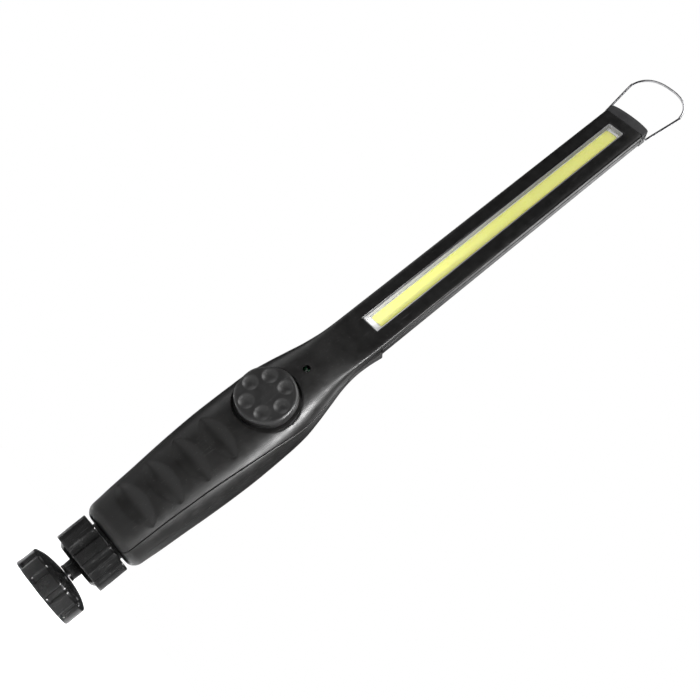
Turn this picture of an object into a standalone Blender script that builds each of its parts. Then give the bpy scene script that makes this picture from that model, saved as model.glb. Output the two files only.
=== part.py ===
"""Cordless strip work light: a slim COB-LED head on a finger-grooved handle.

The lamp stands on +Z. Its lit face looks toward -Y and +X is on the right of someone facing it.
The origin is the centre of the flat face of the magnet in its foot. Lengths are in metres.
"""

import math

import bmesh
import bpy
from mathutils import Matrix, Vector

MM = 0.001
CLEAR = 0.3 * MM  # between neighbouring pieces
WALL = 1.8 * MM

# Foot, magnet and stem, from the ground up
FOOT_RADIUS = 17.1 * MM
FOOT_RIM_HEIGHT = 9.3 * MM
FOOT_HEIGHT = 12.4 * MM
FOOT_LOBES = 10
FOOT_SCALLOP = 0.7 * MM
MAGNET_RADIUS = 14.0 * MM
MAGNET_THICKNESS = 3.0 * MM
PLATE_THICKNESS = 1.2 * MM
PLATE_TOP = MAGNET_THICKNESS + CLEAR + PLATE_THICKNESS
FOOT_SCREW_RADIUS = 1.25 * MM
FOOT_SCREW_HEAD = 2.6 * MM
SCREW_HEAD_TOP = PLATE_TOP + CLEAR + 1.8 * MM
STEM_RADIUS = 4.2 * MM
STEM_WAIST_RADIUS = 2.9 * MM
STEM_PIN_RADIUS = 2.0 * MM
STEM_PIN_RISE = 2.6 * MM  # above the ball's centre

# Ball, its seat and the threaded socket that holds them
BALL_RADIUS = 6.3 * MM
BALL_HEIGHT = 25.0 * MM
SEAT_RISE = 2.6 * MM  # where the seat starts to hold the ball
SOCKET_BORE = BALL_RADIUS + 1.1 * MM
SOCKET_RADIUS = SOCKET_BORE + 2.2 * MM
SOCKET_HOLE = SOCKET_RADIUS + CLEAR
FLANGE_THICKNESS = 2.0 * MM
FLANGE_WIDTH = 1.3 * MM

# Collar nut, screwed onto the socket
NUT_RADIUS = 15.1 * MM
NUT_LOBES = 10
NUT_SCALLOP = 1.4 * MM
NUT_BOTTOM = 19.0 * MM
NUT_TOP = 33.4 * MM
NUT_LIP_RADIUS = BALL_RADIUS - 1.0 * MM
NUT_FLARE_RADIUS = 9.0 * MM
NUT_HUB_RADIUS = 12.8 * MM
NUT_HUB_DROP = 1.4 * MM  # below the lobes

# Casing
HANDLE_BOTTOM = 34.6 * MM
HANDLE_FLOOR = 2.4 * MM
HANDLE_HALF_WIDTH = 21.3 * MM
HANDLE_DEPTH = 15.0 * MM
CORNER = 5.0 * MM  # rounding of the handle's bottom edge
CORNER_DEPTH_SHARE = 0.62
SHOULDER = 130.0 * MM  # where the handle starts to narrow into the neck
NECK_TOP = 186.0 * MM
STRAIGHT_FROM = 190.0 * MM
HEAD_TOP = 377.6 * MM
HEAD_HALF_WIDTH = 12.8 * MM
HEAD_LEVEL = -2.4 * MM  # where the head's two covers meet
HEAD_FRONT_DEPTH = 3.8 * MM
HEAD_REAR_DEPTH = 5.6 * MM
HEAD_MIDDLE = HEAD_LEVEL + (HEAD_REAR_DEPTH - HEAD_FRONT_DEPTH) / 2
HEAD_WALL = 1.4 * MM
FACE = HEAD_LEVEL - HEAD_FRONT_DEPTH
SHELL_STEPS = 22
BEYOND = 25.0 * MM  # how far cutters reach past the casing

# Finger grooves across the grip
GROOVE_COUNT = 4
GROOVE_FIRST = 52.1 * MM
GROOVE_PITCH = 15.2 * MM
GROOVE_SIZE = Vector((13.6, 0.9, 2.7)) * MM  # half its length, its depth, half its width

# Lit window
WINDOW_BOTTOM = 189.7 * MM
WINDOW_TOP = HEAD_TOP - 6.1 * MM
WINDOW_HALF_WIDTH = 5.2 * MM
FRAME_WALL = 0.45 * MM
FRAME_DEPTH = 2.2 * MM
FRAME_SLOPE = 0.55 * MM
FRAME_SINK = 0.1 * MM  # below the face
LENS_THICKNESS = 0.6 * MM
LENS_SINK = 0.5 * MM
PHOSPHOR_HALF_WIDTH = 3.6 * MM
PHOSPHOR_THICKNESS = 0.3 * MM
PHOSPHOR_FROM = 4.3 * MM  # above the window's lower end
PHOSPHOR_TO = 3.0 * MM  # below the window's upper end
BOARD_HALF_WIDTH = 7.5 * MM
BOARD_THICKNESS = 1.0 * MM
BOARD_PAST = 2.0 * MM  # past both ends of the window
SINK_HALF_WIDTH = 8.5 * MM
SINK_THICKNESS = 1.6 * MM

# Dimmer knob
KNOB_AXIS = 126.0 * MM
KNOB_RADIUS = 14.8 * MM
KNOB_TOP = -18.7 * MM
KNOB_THICKNESS = 5.6 * MM
KNOB_EDGE = 1.6 * MM
KNOB_GAP = 1.3 * MM  # round the knob in its pocket
KNOB_BACK = KNOB_TOP + KNOB_THICKNESS
KNOB_DIMPLES = 6
DIMPLE_TURN = math.radians(9)
DIMPLE_RING = 9.4 * MM
DIMPLE_SPHERE = 6.0 * MM
DIMPLE_DEPTH = 1.3 * MM
POCKET_FLOOR = -12.4 * MM
SHAFT_RADIUS = 3.0 * MM
SHAFT_DEPTH = 4.0 * MM
POT_RADIUS = 8.0 * MM
POT_DEPTH = 5.0 * MM
POT_FRONT = POCKET_FLOOR + WALL + CLEAR

# Charge indicator and driver board
INDICATOR_HEIGHT = 149.8 * MM
INDICATOR_HOLE = 2.0 * MM
INDICATOR_LED_RADIUS = 1.5 * MM
INDICATOR_LED_TIP = -11.0 * MM
PCB_FRONT = POT_FRONT + POT_DEPTH + CLEAR
PCB_THICKNESS = 1.2 * MM
PCB_HALF_WIDTH = 11.0 * MM
PCB_PAST = 3.0 * MM  # past the cell below and the indicator above

# Hanging bail and end cap
CAP_SIDE = 4.2 * MM
CAP_CROWN = 2.2 * MM
CAP_EDGE = 1.0 * MM
TENON_LENGTH = 3.5 * MM
TENON_INSET = 1.2 * MM
PIVOT_HEIGHT = HEAD_TOP + CLEAR + 2.2 * MM
PIVOT_DEPTH = 3.2 * MM
PIVOT_REACH = 2.6 * MM
BAIL_WIRE = 0.6 * MM
BAIL_HALF_WIDTH = 16.7 * MM
BAIL_TOP = HEAD_TOP + 41.6 * MM
BAIL_SHOULDER = 15.5 * MM
BAIL_LEG = HEAD_HALF_WIDTH + 1.2 * MM
BAIL_BEND = 0.9 * MM

# Inside the handle
BATTERY_RADIUS = 9.2 * MM
BATTERY_LENGTH = 65.0 * MM
BATTERY_BOTTOM = 43.5 * MM
BATTERY_TOP = BATTERY_BOTTOM + BATTERY_LENGTH
BATTERY_SETBACK = 1.0 * MM
TAB_HALF = 3.0 * MM
TAB_THICKNESS = 0.3 * MM
LEAD_RADIUS = 0.6 * MM

# Case screws and their posts
SCREW_SPOTS = ((12.3 * MM, 56.0 * MM), (14.6 * MM, 104.0 * MM))
SCREWS = [(side * x, z) for x, z in SCREW_SPOTS for side in (1, -1)]
SCREW_RADIUS = 1.1 * MM
SCREW_LENGTH = 10.5 * MM
SCREW_POINT = 1.0 * MM
SCREW_HEAD_RADIUS = 1.9 * MM
SCREW_HEAD_HEIGHT = 1.5 * MM
SCREW_SEAT = 7.2 * MM
PILOT_FROM = -4.0 * MM
BOSS_RADIUS = 2.2 * MM
BOSS_MEETS = 5.0 * MM  # the Y where front and rear screw posts face each other
POST_RADIUS = BOSS_RADIUS + 0.4 * MM

# Charging port, on the +X side of the neck
PORT_HEIGHT = 175.0 * MM
PORT_LENGTH = 8.0 * MM
PORT_THICKNESS = 2.6 * MM
PORT_DEPTH = 5.5 * MM
PORT_SHELL = 0.35 * MM
PORT_MOUTH = 10.4 * MM
PORT_LEVEL = -0.6 * MM
CHARGER_THICKNESS = 1.0 * MM
CHARGER_HALF_LENGTH = 8.0 * MM
COVER_BOTTOM = 163.8 * MM
COVER_TOP = 185.2 * MM
COVER_FROM = math.radians(-44)
COVER_ANGLE_GAP = math.radians(7)
COVER_LIP = 1.2 * MM
TONGUE_HALF = Vector((0, 0.5, 3.0)) * MM

# Stations up the casing: height, half width, front depth, rear depth, squareness of the outline,
# height of the widest level in Y, and how far forward the front shell's edge lies, in degrees.
STATIONS = (
    (36.0, 16.6, 13.6, 13.2, 2.5, 0.0, 38),
    (50.0, 17.8, 14.2, 14.2, 2.4, 0.0, 40),
    (62.0, 18.8, 14.6, 14.7, 2.3, 0.0, 41),
    (76.0, 20.0, 14.9, 15.0, 2.3, 0.0, 41),
    (90.0, 20.9, 15.0, 15.0, 2.3, 0.0, 39),
    (103.0, 21.3, 15.0, 15.0, 2.3, 0.0, 35),
    (117.0, 21.2, 15.0, 14.6, 2.3, 0.0, 28),
    (131.0, 20.4, 14.6, 13.4, 2.4, 0.0, 18),
    (141.0, 18.6, 13.6, 11.4, 2.5, -0.3, 12),
    (150.5, 16.4, 11.6, 9.0, 2.8, -0.8, 8),
    (160.0, 14.3, 8.6, 7.0, 3.4, -1.6, 3),
    (170.0, 13.1, 5.4, 5.9, 5.0, -2.2, 0),
    (180.0, 12.8, 4.1, 5.6, 7.0, -2.4, 0),
    (190.0, 12.8, 3.8, 5.6, 8.0, -2.4, 0),
)
DRAWN_HANDLE_HALF_WIDTH = 21.3  # the sizes that STATIONS is drawn with
DRAWN_HEAD_HALF_WIDTH = 12.8
DRAWN_DEPTH = 15.0
HEAD_FROM = 180.0


# ---------------------------------------------------------------- scene and small helpers

for old in list(bpy.data.objects):
    bpy.data.objects.remove(old, do_unlink=True)

parts = bpy.data.collections.new("strip_work_light")
cutters = bpy.data.collections.new("cutters")
for group in (parts, cutters):
    bpy.context.scene.collection.children.link(group)

COLOURS = {
    "black_plastic": ((0.018, 0.018, 0.019), 0.42, 0.0),
    "grey_plastic": ((0.075, 0.075, 0.078), 0.5, 0.0),
    "black_rubber": ((0.02, 0.02, 0.02), 0.7, 0.0),
    "white_plastic": ((0.55, 0.55, 0.56), 0.5, 0.0),
    "clear_plastic": ((0.9, 0.9, 0.9), 0.08, 0.0),
    "phosphor": ((0.80, 0.78, 0.19), 0.6, 0.0),
    "board_white": ((0.62, 0.62, 0.62), 0.5, 0.0),
    "board_green": ((0.02, 0.16, 0.06), 0.45, 0.0),
    "aluminium": ((0.6, 0.6, 0.62), 0.35, 1.0),
    "steel": ((0.45, 0.45, 0.46), 0.35, 1.0),
    "chrome": ((0.75, 0.75, 0.76), 0.12, 1.0),
    "battery_wrap": ((0.03, 0.12, 0.35), 0.4, 0.0),
    "copper_lead": ((0.5, 0.03, 0.03), 0.5, 0.0),
    "indicator": ((0.8, 0.85, 0.8), 0.2, 0.0),
}


def material(name):
    """The Principled material of this name, made once."""
    if name in bpy.data.materials:
        return bpy.data.materials[name]
    colour, roughness, metallic = COLOURS[name]
    made = bpy.data.materials.new(name)
    made.use_nodes = True
    shader = made.node_tree.nodes["Principled BSDF"]
    shader.inputs["Base Color"].default_value = (*colour, 1.0)
    shader.inputs["Roughness"].default_value = roughness
    shader.inputs["Metallic"].default_value = metallic
    return made


def hub(name, location, rotation=(0, 0, 0), parent=None):
    """An empty on a joint's axis, which carries the pieces that turn there."""
    empty = bpy.data.objects.new(name, None)
    empty.empty_display_size = 0.01
    parts.objects.link(empty)
    empty.location = location
    empty.rotation_euler = rotation
    if parent:
        attach(empty, parent)
    return empty


def attach(child, parent):
    """Parents without moving the child."""
    bpy.context.view_layer.update()
    child.parent = parent
    child.matrix_parent_inverse = parent.matrix_world.inverted()


def place(mesh, name, colour, location=(0, 0, 0), rotation=(0, 0, 0), parent=None):
    obj = bpy.data.objects.new(name, mesh)
    obj.location = location
    obj.rotation_euler = rotation
    if colour is None:
        cutters.objects.link(obj)
        obj.hide_render = True
        obj.display_type = "WIRE"
        return obj
    parts.objects.link(obj)
    mesh.materials.clear()
    mesh.materials.append(material(colour))
    if parent:
        attach(obj, parent)
    return obj


def mesh_from(bm, name, sharp=35):
    bmesh.ops.recalc_face_normals(bm, faces=bm.faces)
    mesh = bpy.data.meshes.new(name)
    bm.to_mesh(mesh)
    bm.free()
    mesh.shade_smooth()
    mesh.set_sharp_from_angle(angle=math.radians(sharp))
    return mesh


def box(name, low, high, colour, bevel=0.0, parent=None):
    """A block between two corners, in world axes, with rounded edges if asked."""
    low, high = Vector(low), Vector(high)
    bm = bmesh.new()
    bmesh.ops.create_cube(bm, size=1.0)
    bmesh.ops.scale(bm, vec=high - low, verts=bm.verts)
    obj = place(mesh_from(bm, name), name, colour, location=(low + high) / 2, parent=parent)
    if bevel:
        rounded = obj.modifiers.new("edges", "BEVEL")
        rounded.width = bevel
        rounded.segments = 2
    return obj


def rod(name, start, end, radius, colour, sides=24, parent=None):
    """A solid cylinder from one point to another."""
    start, end = Vector(start), Vector(end)
    along = end - start
    bm = bmesh.new()
    bmesh.ops.create_cone(
        bm, cap_ends=True, segments=sides, radius1=radius, radius2=radius, depth=along.length
    )
    turn = along.to_track_quat("Z", "Y").to_euler()
    mesh = mesh_from(bm, name)
    return place(mesh, name, colour, location=(start + end) / 2, rotation=turn, parent=parent)


def turned(name, profile, colour, location=(0, 0, 0), rotation=(0, 0, 0), steps=40, parent=None):
    """A turned solid: (radius, height) points down the outside and back up the inside."""
    bm = bmesh.new()
    verts = [bm.verts.new((radius, 0, height)) for radius, height in profile]
    closed = all(radius > 0 for radius, _ in profile)
    ends = zip(verts, verts[1:] + verts[:1]) if closed else zip(verts, verts[1:])
    for a, b in ends:
        bm.edges.new((a, b))
    mesh = bpy.data.meshes.new(name)
    bm.to_mesh(mesh)
    bm.free()
    obj = place(mesh, name, colour, location=location, rotation=rotation, parent=parent)
    screw = obj.modifiers.new("turn", "SCREW")
    screw.steps = screw.render_steps = steps
    screw.use_merge_vertices = True
    screw.merge_threshold = 0.00001
    screw.use_smooth_shade = True
    return obj


def combine(obj, other, operation):
    """A Boolean that stays on the object, with its second shape kept as a hidden cutter."""
    made = obj.modifiers.new(operation.lower(), "BOOLEAN")
    made.operation = operation
    made.solver = "EXACT"
    made.object = other
    return obj


def cut(obj, *tools):
    for tool in tools:
        combine(obj, tool, "DIFFERENCE")
    return obj


def join(obj, *tools):
    for tool in tools:
        combine(obj, tool, "UNION")
    return obj


# ---------------------------------------------------------------- the casing's outline


def station(height):
    """The casing's sizes at this height, on smooth curves through SCALED_STATIONS."""
    rows = SCALED_STATIONS
    height = min(max(height, rows[0][0]), rows[-1][0])
    index = max(i for i in range(len(rows) - 1) if rows[i][0] <= height)
    before, low, high = rows[max(index - 1, 0)], rows[index], rows[index + 1]
    after = rows[min(index + 2, len(rows) - 1)]
    span = high[0] - low[0]
    t = (height - low[0]) / span
    found = []
    for k in range(1, len(low)):
        rise_low = slope(before, low, high, k) * span
        rise_high = slope(low, high, after, k) * span
        found.append(
            low[k] * (2 * t**3 - 3 * t**2 + 1)
            + rise_low * (t**3 - 2 * t**2 + t)
            + high[k] * (3 * t**2 - 2 * t**3)
            + rise_high * (t**3 - t**2)
        )
    return found


def slope(before, here, after, k):
    """A slope that never overshoots: zero at a peak, else the smaller neighbour's, doubled at most."""
    if before is here or after is here:
        return 0.0
    left = (here[k] - before[k]) / (here[0] - before[0])
    right = (after[k] - here[k]) / (after[0] - here[0])
    if left * right <= 0:
        return 0.0
    mean = (left + right) / 2
    return math.copysign(min(abs(mean), 2 * abs(left), 2 * abs(right)), mean)


def scaled_stations():
    """STATIONS in metres, with the driving widths and depths taken up and the head drawn to its top."""
    rows = []
    for height, width, front, rear, squareness, level, edge in STATIONS:
        in_head = height >= HEAD_FROM
        drawn = DRAWN_HEAD_HALF_WIDTH if in_head else DRAWN_HANDLE_HALF_WIDTH
        wide = (HEAD_HALF_WIDTH if in_head else HANDLE_HALF_WIDTH) / drawn
        deep = MM if in_head else HANDLE_DEPTH / DRAWN_DEPTH
        sizes = (height * MM, width * wide, front * deep, rear * deep)
        rows.append((*sizes, squareness, level * MM, math.radians(edge)))
    return [*rows, (HEAD_TOP, *rows[-1][1:])]


SCALED_STATIONS = scaled_stations()


def outline_point(height, angle, inset=0.0):
    """A point on the casing; angle 0 is +X, 90 degrees is the front and -90 the back."""
    width, front, rear, squareness, level, _ = station(height)
    rounding = corner_inset(height)
    depth = (front if math.sin(angle) >= 0 else rear) - inset - CORNER_DEPTH_SHARE * rounding
    power = 2.0 / squareness
    x = (width - inset - rounding) * math.copysign(abs(math.cos(angle)) ** power, math.cos(angle))
    y = level - depth * math.copysign(abs(math.sin(angle)) ** power, math.sin(angle))
    return Vector((x, y, height))


def spread(first, last, count):
    return [first + (last - first) * i / count for i in range(count + 1)]


def level_at(x, height, front, inset=0.0):
    """The Y of the casing's skin at this X, on its front or its back."""
    width, front_depth, rear_depth, squareness, level, _ = station(height)
    share = min(abs(x) / (width - inset), 1.0)
    rise = (1.0 - share**squareness) ** (1.0 / squareness)
    if front:
        return level - (front_depth - inset) * rise
    return level + (rear_depth - inset) * rise


def heights(bottom, top, step):
    count = max(2, math.ceil((top - bottom) / step))
    return spread(bottom, top, count)


def loft(name, sections, colour, parent=None):
    """A solid from C-shaped sections, each an outer and an inner row of points."""
    bm = bmesh.new()
    rings = []
    for outer, inner in sections:
        rings.append([bm.verts.new(p) for p in outer] + [bm.verts.new(p) for p in reversed(inner)])
    size = len(rings[0])
    for low, high in zip(rings, rings[1:]):
        for i in range(size):
            j = (i + 1) % size
            bm.faces.new((low[i], low[j], high[j], high[i]))
    for ring in (rings[0], rings[-1]):
        for i in range(size // 2 - 1):
            bm.faces.new((ring[i], ring[i + 1], ring[size - 2 - i], ring[size - 1 - i]))
    return place(mesh_from(bm, name), name, colour, parent=parent)


def shell_angles(height, front):
    edge = station(height)[-1]
    if front:
        return spread(edge, math.pi - edge, SHELL_STEPS)
    return spread(edge, -math.pi - edge, SHELL_STEPS)


def corner_inset(height):
    """How far the handle's rounded bottom edge draws in at this height."""
    below = max(CORNER - (height - HANDLE_BOTTOM), 0.0)
    return CORNER - math.sqrt(max(CORNER**2 - below**2, 0.0))


def shell_section(height, front, wall, at_floor=False):
    shift = Vector((0, (-0.5 if front else 0.5) * CLEAR, 0))
    outer, inner = [], []
    for angle in shell_angles(height, front):
        outer.append(outline_point(height, angle) + shift)
        if at_floor:
            reach = Vector((math.cos(angle), -math.sin(angle), 0)) * SOCKET_HOLE
            inner.append(reach + Vector((0, 0, height)) + shift)
        else:
            inner.append(outline_point(height, angle, wall) + shift)
    return outer, inner


def handle_sections(front, top):
    """Sections from the handle's floor, round its bottom edge and up to the given height."""
    floor_top = HANDLE_BOTTOM + HANDLE_FLOOR
    step_up = 0.2 * MM
    rows = heights(HANDLE_BOTTOM, floor_top, 0.8 * MM)
    sections = [shell_section(h, front, WALL, at_floor=True) for h in rows]
    rows = heights(floor_top + step_up, HANDLE_BOTTOM + CORNER, 1.3 * MM)
    rows += heights(HANDLE_BOTTOM + CORNER, SHOULDER, 8 * MM)[1:]
    rows += heights(SHOULDER, min(top, STRAIGHT_FROM), 4.2 * MM)[1:]
    if top > STRAIGHT_FROM:
        rows += heights(STRAIGHT_FROM, top, 60 * MM)[1:]
    return sections + [shell_section(h, front, WALL) for h in rows]


# ---------------------------------------------------------------- casing pieces


def slot_prism(name, half_width, bottom, top, front, back, slope=0.0, colour=None):
    """A block behind the face, drawn in by slope at its back on all four sides."""
    bm = bmesh.new()
    bmesh.ops.create_cube(bm, size=1.0)
    size = Vector((2 * half_width, back - front, top - bottom))
    bmesh.ops.scale(bm, vec=size, verts=bm.verts)
    for vert in bm.verts:
        if vert.co.y > 0:
            vert.co.x -= math.copysign(slope, vert.co.x)
            vert.co.z -= math.copysign(slope, vert.co.z)
    centre = (0, (front + back) / 2, (bottom + top) / 2)
    return place(mesh_from(bm, name), name, colour, location=centre)


def finger_grooves():
    """Shallow leaf-shaped cuts across the grip: flattened spheres bent round the casing's front."""
    made = []
    for i in range(GROOVE_COUNT):
        height = GROOVE_FIRST + i * GROOVE_PITCH
        name = f"groove_cutter_{i + 1}"
        bm = bmesh.new()
        sideways = Matrix.Rotation(math.radians(90), 4, "Y")
        bmesh.ops.create_uvsphere(bm, u_segments=16, v_segments=12, radius=1.0, matrix=sideways)
        bmesh.ops.scale(bm, vec=GROOVE_SIZE, verts=bm.verts)
        mesh = mesh_from(bm, name)
        for vert in mesh.vertices:
            vert.co.y += level_at(vert.co.x, height, True)
        made.append(place(mesh, name, None, location=(0, 0, height)))
    return made


def drilled(name, x, z, start, end, radius, sides=16):
    """A cutter or post along Y at one X and height."""
    return rod(name, (x, start, z), (x, end, z), radius, None, sides)


def front_shell():
    shell = loft("front_shell", handle_sections(True, HEAD_TOP), "black_plastic")
    pocket = KNOB_RADIUS + KNOB_GAP
    plate = (POCKET_FLOOR - 0.4 * MM, POCKET_FLOOR + WALL)
    join(shell, drilled("knob_floor_plate", 0, KNOB_AXIS, *plate, pocket - CLEAR, 40))
    for i, (x, z) in enumerate(SCREWS):
        start = level_at(abs(x) + BOSS_RADIUS, z, True) + CLEAR
        join(shell, drilled(f"boss_{i + 1}", x, z, start, BOSS_MEETS - CLEAR, BOSS_RADIUS))
        cut(shell, drilled(f"pilot_{i + 1}", x, z, PILOT_FROM, BEYOND, SCREW_RADIUS + CLEAR, 12))
    cut(
        shell,
        drilled("shaft_hole", 0, KNOB_AXIS, -BEYOND, 0, SHAFT_RADIUS + CLEAR, 24),
        drilled("indicator_hole", 0, INDICATOR_HEIGHT, -BEYOND, FACE, INDICATOR_HOLE),
        slot_prism(
            "window_cutter", WINDOW_HALF_WIDTH, WINDOW_BOTTOM, WINDOW_TOP, -BEYOND, HEAD_LEVEL
        ),
        *finger_grooves(),
        drilled("knob_pocket", 0, KNOB_AXIS, -BEYOND, POCKET_FLOOR, pocket, 48),
    )
    return shell


def cover_section(height, margin):
    """The port cover's section; with a margin, the opening that it sits in."""
    share = max(height - COVER_BOTTOM, 0) / (COVER_TOP - COVER_BOTTOM)
    shift = Vector((0, 0 if margin else 0.5 * CLEAR, 0))
    proud = 2 * WALL if margin else COVER_LIP * share**2
    depth = 2 * WALL if margin else WALL
    first = COVER_FROM - (COVER_ANGLE_GAP if margin else 0.0)
    last = station(height)[-1] + (3 * COVER_ANGLE_GAP if margin else 0.0)
    angles = spread(first, last, 8)
    outer = [outline_point(height, a, -proud) + shift for a in angles]
    inner = [outline_point(height, a, depth) + shift for a in angles]
    return outer, inner


def port_cover(parent):
    rows = heights(COVER_BOTTOM, COVER_TOP, 2.6 * MM)
    cover = loft("port_cover", [cover_section(h, False) for h in rows], "black_rubber")
    low = Vector((PORT_MOUTH + CLEAR, PORT_LEVEL, PORT_HEIGHT)) - TONGUE_HALF
    high = Vector((HEAD_HALF_WIDTH - WALL / 3, PORT_LEVEL, PORT_HEIGHT)) + TONGUE_HALF
    join(cover, box("cover_tongue", low, high, None))
    attach(cover, parent)
    return cover


def rear_shell():
    shell = loft("rear_shell", handle_sections(False, NECK_TOP), "black_plastic")
    for i, (x, z) in enumerate(SCREWS):
        end = level_at(abs(x) + POST_RADIUS, z, False) - CLEAR
        relief = level_at(abs(x) + BOSS_RADIUS, z, True)
        join(shell, drilled(f"post_{i + 1}", x, z, BOSS_MEETS, end, POST_RADIUS))
        cut(
            shell,
            drilled(f"boss_relief_{i + 1}", x, z, relief, BOSS_MEETS, BOSS_RADIUS + CLEAR),
            drilled(f"clearance_{i + 1}", x, z, 0, BEYOND, SCREW_RADIUS + CLEAR, 12),
            drilled(f"counterbore_{i + 1}", x, z, SCREW_SEAT, BEYOND, SCREW_HEAD_RADIUS + CLEAR),
        )
    rows = heights(COVER_BOTTOM - CLEAR, NECK_TOP + 2 * MM, 2.6 * MM)
    cut(shell, loft("cover_opening", [cover_section(h, True) for h in rows], None))
    return shell


def head_back():
    rows = heights(NECK_TOP + CLEAR, HEAD_TOP, 60 * MM)
    sections = [shell_section(h, False, HEAD_WALL) for h in rows]
    return loft("head_back_cover", sections, "grey_plastic")


def case_screws():
    for i, (x, z) in enumerate(SCREWS):
        turned(
            f"case_screw_{i + 1}",
            (
                (0, SCREW_HEAD_HEIGHT),
                (SCREW_HEAD_RADIUS * 0.8, SCREW_HEAD_HEIGHT),
                (SCREW_HEAD_RADIUS, SCREW_HEAD_HEIGHT * 2 / 3),
                (SCREW_HEAD_RADIUS, 0),
                (SCREW_RADIUS, 0),
                (SCREW_RADIUS, SCREW_POINT - SCREW_LENGTH),
                (0, -SCREW_LENGTH),
            ),
            "steel",
            location=(x, SCREW_SEAT + CLEAR, z),
            rotation=(math.radians(-90), 0, 0),
            steps=16,
        )


# ---------------------------------------------------------------- lit head


def light_strip(name, half_width, past, front, thickness, colour):
    """A flat strip behind the window, this far past both of its ends."""
    low = (-half_width, front, WINDOW_BOTTOM - past)
    high = (half_width, front + thickness, WINDOW_TOP + past)
    return box(name, low, high, colour)


def light_window():
    opening = WINDOW_HALF_WIDTH - CLEAR
    front = FACE + FRAME_SINK
    back = front + FRAME_DEPTH
    bottom, top = WINDOW_BOTTOM + CLEAR, WINDOW_TOP - CLEAR
    through = 0.05 * MM
    frame = slot_prism("reflector_frame", opening, bottom, top, front, back, colour="white_plastic")
    cut(
        frame,
        slot_prism(
            "reflector_opening",
            opening - FRAME_WALL,
            bottom + FRAME_WALL,
            top - FRAME_WALL,
            front - through,
            back + through,
            slope=FRAME_SLOPE,
        ),
    )
    seat = FRAME_WALL + FRAME_SLOPE + 2 * CLEAR
    lens_back = back - LENS_SINK
    lens_front = lens_back - LENS_THICKNESS
    lens_half = WINDOW_HALF_WIDTH - seat
    light_strip("window_lens", lens_half, -seat, lens_front, LENS_THICKNESS, "clear_plastic")
    phosphor_front = lens_back + CLEAR
    box(
        "cob_phosphor_strip",
        (-PHOSPHOR_HALF_WIDTH, phosphor_front, WINDOW_BOTTOM + PHOSPHOR_FROM),
        (PHOSPHOR_HALF_WIDTH, phosphor_front + PHOSPHOR_THICKNESS, WINDOW_TOP - PHOSPHOR_TO),
        "phosphor",
    )
    board = back + CLEAR
    light_strip("cob_board", BOARD_HALF_WIDTH, BOARD_PAST, board, BOARD_THICKNESS, "board_white")
    sink = board + BOARD_THICKNESS + CLEAR
    light_strip("heat_sink_strip", SINK_HALF_WIDTH, BOARD_PAST, sink, SINK_THICKNESS, "aluminium")


def end_cap():
    """A domed cap whose tenon slides between the head's two covers."""
    half = HEAD_HALF_WIDTH
    bottom = HEAD_TOP + CLEAR
    curve = bpy.data.curves.new("end_cap_outline", "CURVE")
    curve.dimensions = "2D"
    curve.fill_mode = "BOTH"
    depth = HEAD_FRONT_DEPTH + HEAD_REAR_DEPTH - 0.2 * MM
    curve.extrude = depth / 2
    crown_from = bottom + CAP_SIDE
    crown = [(half * math.cos(a), crown_from + CAP_CROWN * math.sin(a)) for a in spread(0, math.pi, 20)]
    points = [(half, bottom), *crown, (-half, bottom)]
    spline = curve.splines.new("POLY")
    spline.points.add(len(points) - 1)
    for point, (x, z) in zip(spline.points, points):
        point.co = (x, z, 0, 1)
    spline.use_cyclic_u = True
    upright = (math.radians(90), 0, 0)
    cap = solid_from_curve(curve, "end_cap", "grey_plastic", (0, HEAD_MIDDLE, 0), upright)
    rounded = cap.modifiers.new("edges", "BEVEL")
    rounded.width = CAP_EDGE
    rounded.segments = 2
    inside = WALL + 2 * CLEAR
    tenon = half - inside - TENON_INSET
    low = (-tenon, FACE + inside, HEAD_TOP - TENON_LENGTH)
    high = (tenon, HEAD_LEVEL + HEAD_REAR_DEPTH - inside, bottom + CAP_EDGE)
    join(cap, box("cap_tenon", low, high, None))
    for side in (1, -1):
        start = (side * (half - PIVOT_DEPTH), HEAD_MIDDLE, PIVOT_HEIGHT)
        end = (side * (half + PIVOT_DEPTH), HEAD_MIDDLE, PIVOT_HEIGHT)
        cut(cap, rod(f"pivot_hole_{side}", start, end, BAIL_WIRE + CLEAR, None, 16))
    return cap


def solid_from_curve(curve, name, colour, location=(0, 0, 0), rotation=(0, 0, 0)):
    """The curve's solid as a welded mesh object."""
    guide = bpy.data.objects.new(name + "_guide", curve)
    cutters.objects.link(guide)
    guide.location = location
    guide.rotation_euler = rotation
    bpy.context.view_layer.update()
    shaped = guide.evaluated_get(bpy.context.evaluated_depsgraph_get())
    mesh = bpy.data.meshes.new_from_object(shaped)
    bm = bmesh.new()
    bm.from_mesh(mesh)
    bmesh.ops.remove_doubles(bm, verts=bm.verts, dist=0.00001)
    world = guide.matrix_world.copy()
    bpy.data.objects.remove(guide)
    bpy.data.meshes.remove(mesh)
    obj = place(mesh_from(bm, name), name, colour)
    obj.matrix_world = world
    return obj


def wire_curve(name, points, radius):
    curve = bpy.data.curves.new(name, "CURVE")
    curve.dimensions = "3D"
    curve.bevel_depth = radius
    curve.bevel_resolution = 2
    curve.use_fill_caps = True
    spline = curve.splines.new("POLY")
    spline.points.add(len(points) - 1)
    for point, co in zip(spline.points, points):
        point.co = (*co, 1)
    return curve


def wire(name, points, radius, colour, parent=None):
    obj = solid_from_curve(wire_curve(name, points, radius), name, colour)
    if parent:
        attach(obj, parent)
    return obj


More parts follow.
